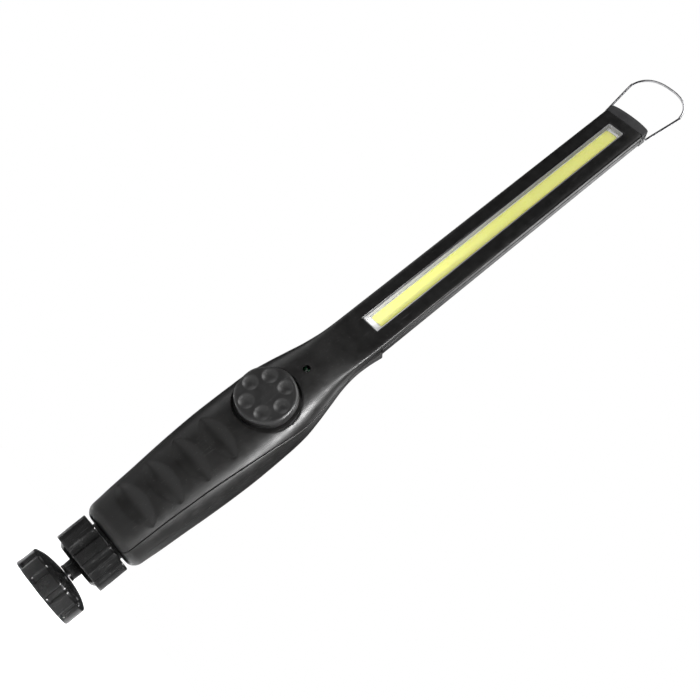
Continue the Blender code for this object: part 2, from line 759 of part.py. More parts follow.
def bail(parent):
    """A D-shaped wire: straight legs that spread a little, round shoulders and a flatter top."""
    tip = HEAD_HALF_WIDTH - PIVOT_REACH
    bend_from = BAIL_LEG - BAIL_BEND
    shoulder = BAIL_TOP - BAIL_SHOULDER
    right = [(tip, PIVOT_HEIGHT), (bend_from, PIVOT_HEIGHT)]
    for a in (math.radians(45), math.radians(90)):
        lift = BAIL_BEND - BAIL_BEND * math.cos(a)
        right.append((bend_from + BAIL_BEND * math.sin(a), PIVOT_HEIGHT + lift))
    for a in spread(0, math.pi / 2, 10)[:-1]:
        across = BAIL_HALF_WIDTH * math.cos(a) ** 0.8
        right.append((across, shoulder + BAIL_SHOULDER * math.sin(a) ** 0.9))
    left = [(-x, z) for x, z in reversed(right)]
    points = [Vector((x, HEAD_MIDDLE, z)) for x, z in (*right, (0, BAIL_TOP), *left)]
    return wire("bail", points, BAIL_WIRE, "chrome", parent)


# ---------------------------------------------------------------- knob and electronics


def knob(parent):
    """A thick dished disc whose axis is Y; its profile is turned about its own Z, which faces out."""
    body = turned(
        "dimmer_knob",
        (
            (0, KNOB_THICKNESS),
            (KNOB_RADIUS - KNOB_EDGE, KNOB_THICKNESS),
            (KNOB_RADIUS - 0.4 * KNOB_EDGE, KNOB_THICKNESS - 0.3 * KNOB_EDGE),
            (KNOB_RADIUS, KNOB_THICKNESS - KNOB_EDGE),
            (KNOB_RADIUS, 0),
            (0, 0),
        ),
        "black_plastic",
        location=(0, KNOB_BACK, KNOB_AXIS),
        rotation=(math.radians(90), 0, 0),
    )
    for i in range(KNOB_DIMPLES):
        angle = DIMPLE_TURN + 2 * math.pi * i / KNOB_DIMPLES
        bm = bmesh.new()
        bmesh.ops.create_uvsphere(bm, u_segments=14, v_segments=8, radius=DIMPLE_SPHERE)
        name = f"dimple_{i + 1}"
        x, z = DIMPLE_RING * math.cos(angle), KNOB_AXIS + DIMPLE_RING * math.sin(angle)
        front = KNOB_TOP - DIMPLE_SPHERE + DIMPLE_DEPTH
        cut(body, place(mesh_from(bm, name), name, None, location=(x, front, z)))
    bottom = KNOB_BACK - SHAFT_DEPTH
    cut(body, drilled("knob_bore", 0, KNOB_AXIS, bottom, 0, SHAFT_RADIUS + CLEAR, 24))
    attach(body, parent)
    start, end = (0, bottom + CLEAR, KNOB_AXIS), (0, POT_FRONT - CLEAR, KNOB_AXIS)
    rod("dimmer_shaft", start, end, SHAFT_RADIUS, "steel", 24, parent)
    return body


def electronics():
    start, end = (0, POT_FRONT, KNOB_AXIS), (0, POT_FRONT + POT_DEPTH, KNOB_AXIS)
    rod("dimmer_potentiometer", start, end, POT_RADIUS, "steel", 32)
    low = (-PCB_HALF_WIDTH, PCB_FRONT, BATTERY_TOP + PCB_PAST)
    high = (PCB_HALF_WIDTH, PCB_FRONT + PCB_THICKNESS, INDICATOR_HEIGHT + PCB_PAST)
    box("driver_board", low, high, "board_green")
    start, end = (0, PCB_FRONT - CLEAR, INDICATOR_HEIGHT), (0, INDICATOR_LED_TIP, INDICATOR_HEIGHT)
    rod("indicator_led", start, end, INDICATOR_LED_RADIUS, "indicator", 16)
    board_back = PORT_LEVEL - PORT_THICKNESS / 2 - CLEAR
    low = (0, board_back - CHARGER_THICKNESS, PORT_HEIGHT - CHARGER_HALF_LENGTH)
    high = (PORT_MOUTH - 2 * CLEAR, board_back, PORT_HEIGHT + CHARGER_HALF_LENGTH)
    box("charging_board", low, high, "board_green")
    half = Vector((PORT_DEPTH, PORT_THICKNESS, PORT_LENGTH)) / 2
    centre = Vector((PORT_MOUTH - half.x, PORT_LEVEL, PORT_HEIGHT))
    inlet = box("micro_usb_inlet", centre - half, centre + half, "steel")
    wall = Vector((PORT_SHELL, PORT_SHELL, PORT_SHELL))
    outward = Vector((2 * PORT_SHELL, 0, 0))
    cut(inlet, box("inlet_mouth", centre - half + wall, centre + half - wall + outward, None))


def battery():
    start, end = (0, BATTERY_SETBACK, BATTERY_BOTTOM), (0, BATTERY_SETBACK, BATTERY_TOP)
    rod("lithium_cell", start, end, BATTERY_RADIUS, "battery_wrap", 32)
    below = BATTERY_BOTTOM - CLEAR - TAB_THICKNESS
    for name, height in (("cell_tab_negative", below), ("cell_tab_positive", BATTERY_TOP + CLEAR)):
        low = (-TAB_HALF, BATTERY_SETBACK - TAB_HALF, height)
        high = (TAB_HALF, BATTERY_SETBACK + TAB_HALF, height + TAB_THICKNESS)
        box(name, low, high, "steel")


def leads():
    """Two leads from the cell to the driver board and two from there up to the light strip."""
    behind = PCB_FRONT + PCB_THICKNESS + LEAD_RADIUS + CLEAR
    above = BATTERY_TOP + CLEAR + TAB_THICKNESS + CLEAR + LEAD_RADIUS
    below = BATTERY_BOTTOM - CLEAR - TAB_THICKNESS - CLEAR - LEAD_RADIUS
    beside = (BATTERY_RADIUS + LEAD_RADIUS + 2 * CLEAR) * math.sqrt(0.5)
    room = BATTERY_SETBACK + beside
    side = 4 * MM
    positive = (
        (0, BATTERY_SETBACK, above),
        (side / 2, BATTERY_SETBACK - side / 2, above + side),
        (side, behind, BATTERY_TOP + 3 * side),
        (side, behind, BATTERY_TOP + 5 * side),
    )
    negative = (
        (-side / 2, BATTERY_SETBACK + side, below),
        (side / 4 - beside, room - side / 4, below),
        (-beside, room, BATTERY_BOTTOM + side),
        (-beside, room, BATTERY_TOP - 2 * side),
        (-beside, room - side / 4, BATTERY_TOP + side),
        (-side, behind + side / 4, BATTERY_TOP + 3 * side),
        (-side, behind, BATTERY_TOP + 5 * side),
    )
    wire("lead_positive", smooth_route(positive), LEAD_RADIUS, "copper_lead")
    wire("lead_negative", smooth_route(negative), LEAD_RADIUS, "black_rubber")
    runs = (
        ("strip_lead_positive", 3 * MM, "copper_lead"),
        ("strip_lead_negative", -3 * MM, "black_rubber"),
    )
    level = HEAD_LEVEL + 2 * LEAD_RADIUS
    for name, x, colour in runs:
        route = (
            (x, behind, INDICATOR_HEIGHT - side),
            (x, behind, INDICATOR_HEIGHT + 2 * side),
            (x - side, level, PORT_HEIGHT - 1.5 * side),
            (x - side, level, WINDOW_BOTTOM - BOARD_PAST - CLEAR),
        )
        wire(name, smooth_route(route), LEAD_RADIUS, colour)


def smooth_route(points, between=5):
    """A smooth curve through the points."""
    points = [Vector(p) for p in points]
    padded = [2 * points[0] - points[1], *points, 2 * points[-1] - points[-2]]
    route = []
    for a, b, c, d in zip(padded, padded[1:], padded[2:], padded[3:]):
        for i in range(between):
            t = i / between
            turn = (2 * a - 5 * b + 4 * c - d) * t**2
            twist = (3 * b - a - 3 * c + d) * t**3
            route.append(0.5 * (2 * b + (c - a) * t + turn + twist))
    return [*route, points[-1]]


# ---------------------------------------------------------------- ball joint and foot


def scalloped(name, radius, lobes, depth, bottom, top, colour, parent=None):
    """A disc with a gently lobed edge."""
    bm = bmesh.new()
    ring = []
    for a in spread(0, 2 * math.pi, lobes * 6)[:-1]:
        dip = depth * max(0.0, -math.cos(lobes * a)) ** 1.5
        reach = radius - dip
        ring.append(bm.verts.new((reach * math.cos(a), reach * math.sin(a), bottom)))
    face = bm.faces.new(ring)
    raised = bmesh.ops.extrude_face_region(bm, geom=[face])["geom"]
    upper = [v for v in raised if isinstance(v, bmesh.types.BMVert)]
    bmesh.ops.translate(bm, vec=(0, 0, top - bottom), verts=upper)
    return place(mesh_from(bm, name), name, colour, parent=parent)


def ball_socket():
    """The threaded nose of the handle, held by a flange inside its floor, with a bore for the ball."""
    inside = HANDLE_BOTTOM + HANDLE_FLOOR + CLEAR
    roof = BALL_HEIGHT + BALL_RADIUS + 1.2 * MM
    return turned(
        "ball_socket",
        (
            (0, inside + FLANGE_THICKNESS),
            (SOCKET_RADIUS + FLANGE_WIDTH, inside + FLANGE_THICKNESS),
            (SOCKET_RADIUS + FLANGE_WIDTH, inside),
            (SOCKET_RADIUS, inside),
            (SOCKET_RADIUS, BALL_HEIGHT - 0.5 * MM),
            (SOCKET_BORE, BALL_HEIGHT - 0.5 * MM),
            (SOCKET_BORE, roof),
            (0, roof),
        ),
        "black_plastic",
    )


def ball_seat(parent):
    gap = BALL_RADIUS + CLEAR
    low, high = BALL_HEIGHT + SEAT_RISE, BALL_HEIGHT + BALL_RADIUS + 0.9 * MM
    rises = spread(SEAT_RISE, gap - 1.2 * MM, 5)
    cup = [(math.sqrt(gap**2 - rise**2), BALL_HEIGHT + rise) for rise in rises]
    rim = SOCKET_BORE - CLEAR
    profile = [(cup[-1][0], high), (rim, high), (rim, low), *cup]
    return turned("ball_seat_ring", profile, "white_plastic", parent=parent)


def collar_nut(parent):
    nut = scalloped(
        "collar_nut", NUT_RADIUS, NUT_LOBES, NUT_SCALLOP, NUT_BOTTOM, NUT_TOP, "black_plastic"
    )
    hub_bottom = NUT_BOTTOM - NUT_HUB_DROP
    join(
        nut,
        turned(
            "nut_hub",
            (
                (0, NUT_TOP - 1 * MM),
                (SOCKET_HOLE + 1 * MM, NUT_TOP - 1 * MM),
                (NUT_HUB_RADIUS, NUT_BOTTOM + 0.5 * MM),
                (NUT_FLARE_RADIUS + 1.5 * MM, hub_bottom),
                (0, hub_bottom),
            ),
            None,
        ),
    )
    bore = SOCKET_HOLE
    step = BALL_HEIGHT - 1.2 * MM
    lip = BALL_HEIGHT - math.sqrt((BALL_RADIUS + CLEAR) ** 2 - NUT_LIP_RADIUS**2)
    gap = BALL_RADIUS + CLEAR
    cut(
        nut,
        turned(
            "nut_bore",
            (
                (0, NUT_TOP + 1 * MM),
                (bore, NUT_TOP + 1 * MM),
                (bore, step),
                (math.sqrt(gap**2 - (step - BALL_HEIGHT) ** 2), step),
                (NUT_LIP_RADIUS, lip),
                (NUT_FLARE_RADIUS, lip - CLEAR),
                (NUT_FLARE_RADIUS, hub_bottom - 1 * MM),
                (0, hub_bottom - 1 * MM),
            ),
            None,
        ),
    )
    attach(nut, parent)
    return nut


def ball(parent):
    bm = bmesh.new()
    bmesh.ops.create_uvsphere(bm, u_segments=24, v_segments=16, radius=BALL_RADIUS)
    sphere = place(mesh_from(bm, "ball", 60), "ball", "black_plastic", location=(0, 0, BALL_HEIGHT))
    cut(
        sphere,
        rod(
            "ball_bore", (0, 0, BALL_HEIGHT - 2 * BALL_RADIUS), (0, 0, BALL_HEIGHT + STEM_PIN_RISE + CLEAR),
            STEM_PIN_RADIUS + CLEAR, None, 20,
        ),
    )
    attach(sphere, parent)
    return sphere


def upright_hole(name, top, radius, sides):
    """A cutter up the foot's axis, from under its face."""
    return rod(name, (0, 0, -MM), (0, 0, top), radius, None, sides)


def stem_and_foot(parent):
    under_ball = BALL_HEIGHT - BALL_RADIUS
    bore = FOOT_SCREW_RADIUS + CLEAR
    bottom = FOOT_HEIGHT + CLEAR
    turned(
        "stem",
        (
            (0, BALL_HEIGHT + STEM_PIN_RISE),
            (STEM_PIN_RADIUS, BALL_HEIGHT + STEM_PIN_RISE),
            (STEM_PIN_RADIUS, under_ball + 0.4 * MM),
            (STEM_WAIST_RADIUS, under_ball + 0.4 * MM),
            (STEM_WAIST_RADIUS, under_ball - 0.1 * MM),
            (STEM_RADIUS, under_ball - 0.8 * MM),
            (STEM_RADIUS, bottom),
            (bore, bottom),
            (bore, under_ball - 0.5 * MM),
            (0, under_ball - 0.5 * MM),
        ),
        "black_plastic",
        steps=24,
        parent=parent,
    )
    foot = scalloped(
        "magnet_foot", FOOT_RADIUS, FOOT_LOBES, FOOT_SCALLOP, 0.0, FOOT_HEIGHT, "black_plastic"
    )
    dome = FOOT_RADIUS + 1 * MM
    cut(
        foot,
        turned(
            "foot_dome_cutter",
            (
                (dome + 5 * MM, FOOT_HEIGHT + 5 * MM),
                (dome + 5 * MM, FOOT_RIM_HEIGHT - 1 * MM),
                (dome, FOOT_RIM_HEIGHT - 0.6 * MM),
                (FOOT_RADIUS - 1 * MM, FOOT_RIM_HEIGHT + 0.3 * MM),
                (FOOT_RADIUS * 0.72, FOOT_HEIGHT - 1.2 * MM),
                (FOOT_RADIUS * 0.42, FOOT_HEIGHT - 0.2 * MM),
                (STEM_RADIUS + 0.5 * MM, FOOT_HEIGHT + 0.1 * MM),
                (STEM_RADIUS + 0.5 * MM, FOOT_HEIGHT + 5 * MM),
            ),
            None,
        ),
        upright_hole("magnet_pocket", PLATE_TOP + CLEAR, MAGNET_RADIUS + CLEAR, 40),
        upright_hole("screw_head_pocket", SCREW_HEAD_TOP + CLEAR, FOOT_SCREW_HEAD + CLEAR, 24),
        upright_hole("foot_screw_hole", 2 * FOOT_HEIGHT, bore, 16),
    )
    attach(foot, parent)
    rod("foot_magnet", (0, 0, 0), (0, 0, MAGNET_THICKNESS), MAGNET_RADIUS, "steel", 40, parent)
    plate_bottom = MAGNET_THICKNESS + CLEAR
    rod("backing_plate", (0, 0, plate_bottom), (0, 0, PLATE_TOP), MAGNET_RADIUS, "steel", 40, parent)
    turned(
        "foot_screw",
        (
            (0, under_ball - 1 * MM),
            (FOOT_SCREW_RADIUS, under_ball - 1 * MM),
            (FOOT_SCREW_RADIUS, SCREW_HEAD_TOP),
            (FOOT_SCREW_HEAD, SCREW_HEAD_TOP),
            (FOOT_SCREW_HEAD, PLATE_TOP + CLEAR),
            (0, PLATE_TOP + CLEAR),
        ),
        "steel",
        steps=16,
        parent=parent,
    )


# ---------------------------------------------------------------- assembly

ball_centre = (0, 0, BALL_HEIGHT)
lamp = hub("lamp", (0, 0, HANDLE_BOTTOM))
knob_axis = hub("knob_axis", (0, KNOB_BACK, KNOB_AXIS), (math.radians(90), 0, 0), lamp)
collar_axis = hub("collar_axis", (0, 0, NUT_TOP), parent=lamp)
bail_axis = hub("bail_axis", (0, HEAD_MIDDLE, PIVOT_HEIGHT), parent=lamp)
cover_hinge = hub("cover_hinge", (station(COVER_BOTTOM)[0], PORT_LEVEL, COVER_BOTTOM), parent=lamp)
pan_axis = hub("pan_axis", ball_centre, parent=lamp)
tilt_axis = hub("tilt_axis", ball_centre, parent=pan_axis)
spin_axis = hub("spin_axis", ball_centre, parent=tilt_axis)

front_shell()
rear_shell()
head_back()
end_cap()
ball_socket()
light_window()
case_screws()
electronics()
battery()
leads()
knob(knob_axis)
collar_nut(collar_axis)
bail(bail_axis)
port_cover(cover_hinge)
ball_seat(pan_axis)
ball(tilt_axis)
stem_and_foot(spin_axis)
for piece in list(parts.objects):
    if piece.type == "MESH" and piece.parent is None:
        attach(piece, lamp)
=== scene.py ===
"""Cordless strip work light: the finished surfaces, materials, floor, light and camera round the CAD frame.

Lengths are in metres in the frame's own axes: +Z up the lamp, the lit face toward -Y, +X on its right.
"""

import math

import bmesh
import bpy
import numpy as np
from mathutils import Matrix, Vector


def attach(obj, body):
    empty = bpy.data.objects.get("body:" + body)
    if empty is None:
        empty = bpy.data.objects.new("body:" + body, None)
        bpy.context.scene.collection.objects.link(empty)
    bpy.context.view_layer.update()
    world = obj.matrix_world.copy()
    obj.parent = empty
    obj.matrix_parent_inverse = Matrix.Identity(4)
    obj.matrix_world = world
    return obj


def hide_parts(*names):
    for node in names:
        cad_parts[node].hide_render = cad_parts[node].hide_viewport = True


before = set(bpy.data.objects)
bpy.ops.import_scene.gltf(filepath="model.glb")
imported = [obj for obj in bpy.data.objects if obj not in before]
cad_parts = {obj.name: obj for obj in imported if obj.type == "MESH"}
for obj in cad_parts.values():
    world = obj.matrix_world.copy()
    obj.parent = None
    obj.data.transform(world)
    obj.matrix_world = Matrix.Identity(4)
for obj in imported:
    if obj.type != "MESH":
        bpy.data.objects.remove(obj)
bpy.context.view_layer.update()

MM = 0.001
CLEAR = 0.3 * MM
WALL = 1.8 * MM
SKIN = 0.03 * MM  # the fine surfaces lie this far inside the CAD's

# Casing
HANDLE_BOTTOM = 34.6 * MM
HANDLE_FLOOR = 2.4 * MM
CORNER = 5.0 * MM
CORNER_DEPTH_SHARE = 0.62
NECK_TOP = 186.0 * MM
HEAD_TOP = 377.6 * MM
HEAD_BACK_WALL = 1.4 * MM
HEAD_LEVEL = -2.4 * MM
HEAD_MIDDLE = -1.5 * MM
HEAD_HALF_WIDTH = 12.8 * MM
FACE = -6.2 * MM
SOCKET_HOLE = 9.9 * MM
WINDOW_BOTTOM = 189.7 * MM
WINDOW_TOP = 371.5 * MM
WINDOW_HALF_WIDTH = 5.2 * MM
WINDOW_EDGE = 0.28 * MM  # chamfer of the window's outer edge
BEYOND = 25 * MM  # past anything that is cut
KNOB_AXIS = 126.0 * MM
KNOB_RADIUS = 14.8 * MM
KNOB_BACK = -13.1 * MM
POCKET_RADIUS = 16.1 * MM
POCKET_FLOOR = -12.4 * MM
POCKET_EDGE = 0.35 * MM  # rounding of the pocket's mouth
SHAFT_HOLE = 3.3 * MM
INDICATOR = 149.8 * MM
INDICATOR_HOLE = 2.0 * MM
GROOVES = [(52.1 + 15.2 * i) * MM for i in range(4)]
GROOVE_HALF_LENGTH = 12.8 * MM
GROOVE_HALF_WIDTH = 6.24 * MM
GROOVE_DEPTH = 1.15 * MM
GROOVE_MARGIN = 4 * MM  # finely meshed beyond the first and last groove
COVER_BOTTOM = 163.8 * MM
COVER_TOP = 185.2 * MM
COVER_FROM = math.radians(-44)
COVER_LIP = 1.2 * MM
COVER_COLUMNS = 28
COVER_GAP_BELOW = math.radians(7)  # the opening reaches this far past the cover's edges
COVER_GAP_ABOVE = math.radians(21)
SCREWS = [(side * x * MM, z * MM) for x, z in ((12.3, 56.0), (14.6, 104.0)) for side in (1, -1)]
POST_RADIUS = 2.6 * MM
POST_FROM = 5.0 * MM
SCREW_HOLE = 1.4 * MM
SCREW_SEAT = 7.2 * MM
SCREW_RECESS = 2.2 * MM

# Fine line moulded into each side of the grip: its angles at these heights
MOULD_LINE_HEIGHTS = (44, 54, 70, 100)  # mm
MOULD_LINE_ANGLES = (8, 11, 14, 17)  # degrees
MOULD_LINE_RADIUS = 0.2 * MM

# Fine meshing of the shells
EDGE_STEPS = np.array([0.0, 0.03, 0.08, 0.16, 0.28, 0.45]) * MM
EDGE_ROUND = 0.38 * MM
ACROSS = 92
ALONG_OUTLINE = 900
NORMAL_STEP = 0.1 * MM

# Height, half width, front depth, rear depth, squareness, widest level and the front shell's edge in degrees
STATIONS = (
    (36.0, 16.6, 13.6, 13.2, 2.5, 0.0, 38),
    (50.0, 17.8, 14.2, 14.2, 2.4, 0.0, 40),
    (62.0, 18.8, 14.6, 14.7, 2.3, 0.0, 41),
    (76.0, 20.0, 14.9, 15.0, 2.3, 0.0, 41),
    (90.0, 20.9, 15.0, 15.0, 2.3, 0.0, 39),
    (103.0, 21.3, 15.0, 15.0, 2.3, 0.0, 35),
    (117.0, 21.2, 15.0, 14.6, 2.3, 0.0, 28),
    (131.0, 20.4, 14.6, 13.4, 2.4, 0.0, 18),
    (141.0, 18.6, 13.6, 11.4, 2.5, -0.3, 12),
    (150.5, 16.4, 11.6, 9.0, 2.8, -0.8, 8),
    (160.0, 14.3, 8.6, 7.0, 3.4, -1.6, 3),
    (170.0, 13.1, 5.4, 5.9, 5.0, -2.2, 0),
    (180.0, 12.8, 4.1, 5.6, 7.0, -2.4, 0),
    (190.0, 12.8, 3.8, 5.6, 8.0, -2.4, 0),
    (377.6, 12.8, 3.8, 5.6, 8.0, -2.4, 0),
)
ROWS = [
    (h * MM, w * MM, f * MM, r * MM, sq, lv * MM, math.radians(edge))
    for h, w, f, r, sq, lv, edge in STATIONS
]


# ---------------------------------------------------------------- the casing's outline


def slope(before, here, after, k):
    """The slope of column k at this row, flat at a peak and limited so that the curve never overshoots."""
    if before is here or after is here:
        return 0.0
    left = (here[k] - before[k]) / (here[0] - before[0])
    right = (after[k] - here[k]) / (after[0] - here[0])
    if left * right <= 0:
        return 0.0
    mean = (left + right) / 2
    return math.copysign(min(abs(mean), 2 * abs(left), 2 * abs(right)), mean)


def station(height):
    """The casing's sizes at this height, on smooth curves through ROWS."""
    height = min(max(height, ROWS[0][0]), ROWS[-1][0])
    index = max(i for i in range(len(ROWS) - 1) if ROWS[i][0] <= height)
    before, low, high = ROWS[max(index - 1, 0)], ROWS[index], ROWS[index + 1]
    after = ROWS[min(index + 2, len(ROWS) - 1)]
    span = high[0] - low[0]
    t = (height - low[0]) / span
    found = []
    for k in range(1, len(low)):
        rise_low = slope(before, low, high, k) * span
        rise_high = slope(low, high, after, k) * span
        found.append(
            low[k] * (2 * t**3 - 3 * t**2 + 1)
            + rise_low * (t**3 - 2 * t**2 + t)
            + high[k] * (3 * t**2 - 2 * t**3)
            + rise_high * (t**3 - t**2)
        )
    return found


def corner_inset(height):
    """How far the rounded bottom edge draws in at this height."""
    below = max(CORNER - (height - HANDLE_BOTTOM), 0.0)
    return CORNER - math.sqrt(max(CORNER**2 - below**2, 0.0))


def outline(height, angles, inset=0.0):
    """Rows of (x, y) on the casing; angle 0 is +X, 90 degrees is the front and -90 the back."""
    width, front, rear, squareness, level, _ = station(height)
    rounding = corner_inset(height)
    cos, sin = np.cos(angles), np.sin(angles)
    power = 2.0 / squareness
    depth = np.where(sin >= 0, front, rear) - inset - CORNER_DEPTH_SHARE * rounding
    x = (width - inset - rounding) * np.sign(cos) * np.abs(cos) ** power
    y = level - depth * np.sign(sin) * np.abs(sin) ** power
    return np.stack([x, y], axis=1)


def level_at(x, height, front):
    """The y of the casing's front or rear face at this x and height."""
    width, front_depth, rear_depth, squareness, level, _ = station(height)
    share = min(abs(x) / width, 1.0)
    rise = (1.0 - share**squareness) ** (1.0 / squareness)
    return level - front_depth * rise if front else level + rear_depth * rise


def resampled(points, fractions):
    """Points at these places along a row of points, with the tangent and distance to the nearer end."""
    steps = np.linalg.norm(np.diff(points, axis=0), axis=1)
    along = np.concatenate([[0.0], np.cumsum(steps)])
    length = along[-1]
    at = fractions(length)
    spots = np.stack([np.interp(at, along, points[:, k]) for k in (0, 1)], axis=1)
    ahead = np.stack([np.interp(at + NORMAL_STEP, along, points[:, k]) for k in (0, 1)], axis=1)
    behind = np.stack([np.interp(at - NORMAL_STEP, along, points[:, k]) for k in (0, 1)], axis=1)
    tangent = ahead - behind
    tangent /= np.linalg.norm(tangent, axis=1)[:, None]
    return spots, tangent, np.minimum(at, length - at)


def edge_spaced(length):
    """Distances along a section: close together at both edges, even between them."""
    inner = np.linspace(EDGE_STEPS[-1], length - EDGE_STEPS[-1], ACROSS + 2)[1:-1]
    return np.concatenate([EDGE_STEPS, inner, length - EDGE_STEPS[::-1]])


def rounded(distance, radius):
    """How far a quarter-round edge draws in at this distance from it."""
    d = np.clip(radius - distance, 0.0, radius)
    return radius - np.sqrt(radius**2 - d**2)


def smoothstep(x):
    """0 below 0, 1 above 1 and a smooth rise between."""
    x = np.clip(x, 0.0, 1.0)
    return x * x * (3 - 2 * x)


def shell_row(height, front, wall, end_distance, relief, floor):
    """One section of a shell: fine outer points with rounded edges, then inner points back again."""
    edge = station(height)[-1]
    last = math.pi - edge if front else -math.pi - edge
    dense = np.linspace(edge, last, ALONG_OUTLINE)
    skin, tangent, from_edge = resampled(outline(height, dense, SKIN), edge_spaced)
    turn = 1.0 if front else -1.0
    inward = np.stack([tangent[:, 1], -tangent[:, 0]], axis=1) * -turn
    middle = np.array([0.0, station(height)[4]])
    flip = np.sign(np.sum(inward * (middle - skin), axis=1))
    inward *= flip[:, None]
    sink = np.maximum(rounded(from_edge, EDGE_ROUND), rounded(end_distance, EDGE_ROUND))
    if relief is not None:
        sink = sink + relief(skin[:, 0], height)
    outer = skin + inward * sink[:, None]
    shift = np.array([0.0, (-0.5 if front else 0.5) * CLEAR])
    if floor:
        angles = np.linspace(edge, last, len(outer))
        inner = np.stack([np.cos(angles), -np.sin(angles)], axis=1) * SOCKET_HOLE
    else:
        inner, _, _ = resampled(outline(height, dense, wall), edge_spaced)
    return [(*(p + shift), height) for p in outer], [(*(p + shift), height) for p in inner]


def collect(bm, name, smooth_angle=35):
    """A linked object from the mesh so far, smooth but for edges sharper than the angle."""
    bmesh.ops.recalc_face_normals(bm, faces=bm.faces)
    mesh = bpy.data.meshes.new(name)
    bm.to_mesh(mesh)
    bm.free()
    mesh.shade_smooth()
    mesh.set_sharp_from_angle(angle=math.radians(smooth_angle))
    obj = bpy.data.objects.new(name, mesh)
    bpy.context.scene.collection.objects.link(obj)
    return obj


def loft(name, sections):
    """A closed solid from rows of outer and inner points."""
    bm = bmesh.new()
    rings = []
    for outer, inner in sections:
        rings.append([bm.verts.new(p) for p in outer] + [bm.verts.new(p) for p in reversed(inner)])
    size = len(rings[0])
    for low, high in zip(rings, rings[1:]):
        for i in range(size):
            j = (i + 1) % size
            bm.faces.new((low[i], low[j], high[j], high[i]))
    for ring in (rings[0], rings[-1]):
        for i in range(size // 2 - 1):
            bm.faces.new((ring[i], ring[i + 1], ring[size - 2 - i], ring[size - 1 - i]))
    return collect(bm, name)


def turned(name, profile, steps=96, wobble=None):
    """A solid of revolution round Z from (radius, height) points, closed on the axis or as a ring.

    The wobble moves each point: it takes radius, height and angle, and gives radius and height.
    """
    bm = bmesh.new()
    rings = []
    for radius, height in profile:
        if radius <= 0:
            rings.append([bm.verts.new((0, 0, height))])
            continue
        ring = []
        for i in range(steps):
            a = 2 * math.pi * i / steps
            reach, rise = wobble(radius, height, a) if wobble else (radius, height)
            ring.append(bm.verts.new((reach * math.cos(a), reach * math.sin(a), rise)))
        rings.append(ring)
    pairs = list(zip(rings, rings[1:]))
    if len(rings[0]) > 1:
        pairs.append((rings[-1], rings[0]))
    for low, high in pairs:
        for i in range(steps):
            j = (i + 1) % steps
            if len(low) == 1:
                bm.faces.new((low[0], high[j], high[i]))
            elif len(high) == 1:
                bm.faces.new((low[i], low[j], high[0]))
            else:
                bm.faces.new((low[i], low[j], high[j], high[i]))
    return collect(bm, name)


def soften(profile, radius, steps=3):
    """The profile with its corners rounded; points on the axis stay."""
    found = []
    count = len(profile)
    for i, (r, z) in enumerate(profile):
        if r <= 0:
            found.append((r, z))
            continue
        before, after = profile[i - 1], profile[(i + 1) % count]
        here = np.array((r, z))
        back, on = np.array(before) - here, np.array(after) - here
        reach = min(radius, 0.45 * np.linalg.norm(back), 0.45 * np.linalg.norm(on))
        start = here + back / np.linalg.norm(back) * reach
        end = here + on / np.linalg.norm(on) * reach
        for t in np.linspace(0, 1, steps + 1):
            point = (1 - t) ** 2 * start + 2 * t * (1 - t) * here + t**2 * end
            found.append((float(point[0]), float(point[1])))
    return found


def cut(obj, *tools, operation="DIFFERENCE"):
    """Booleans applied at once; the cutters are removed."""
    for tool in tools:
        made = obj.modifiers.new("cut", "BOOLEAN")
        made.operation = operation
        made.solver = "EXACT"
        made.object = tool
    graph = bpy.context.evaluated_depsgraph_get()
    mesh = bpy.data.meshes.new_from_object(obj.evaluated_get(graph))
    obj.modifiers.clear()
    old, obj.data = obj.data, mesh
    bpy.data.meshes.remove(old)
    for tool in tools:
        bpy.data.objects.remove(tool)
    obj.data.shade_smooth()
    obj.data.set_sharp_from_angle(angle=math.radians(32))
    return obj


def cylinder(name, start, end, radius, sides):
    start, end = Vector(start), Vector(end)
    bm = bmesh.new()
    bmesh.ops.create_cone(
        bm, cap_ends=True, segments=sides, radius1=radius, radius2=radius, depth=(end - start).length
    )
    turn = (end - start).to_track_quat("Z", "Y").to_matrix().to_4x4()
    bmesh.ops.transform(bm, matrix=Matrix.Translation((start + end) / 2) @ turn, verts=bm.verts)
    return collect(bm, name)


def rounded_prism(name, layers, corner, sides=6):
    """A solid through (y, half width, bottom, top) layers, each a rectangle with round corners."""
    bm = bmesh.new()
    rings = []
    for y, half, bottom, top in layers:
        ring = []
        for cx, cz, first in (
            (half - corner, top - corner, 0),
            (-half + corner, top - corner, 90),
            (-half + corner, bottom + corner, 180),
            (half - corner, bottom + corner, 270),
        ):
            for i in range(sides + 1):
                a = math.radians(first + 90 * i / sides)
                ring.append(bm.verts.new((cx + corner * math.cos(a), y, cz + corner * math.sin(a))))
        rings.append(ring)
    for low, high in zip(rings, rings[1:]):
        for i in range(len(low)):
            j = (i + 1) % len(low)
            bm.faces.new((low[i], low[j], high[j], high[i]))
    bm.faces.new(rings[0])
    bm.faces.new(rings[-1])
    return collect(bm, name)


# ---------------------------------------------------------------- materials


def scaled_colour(colour, factor):
    """The colour times a factor, with full alpha."""
    return (*(min(c * factor, 1.0) for c in colour), 1.0)


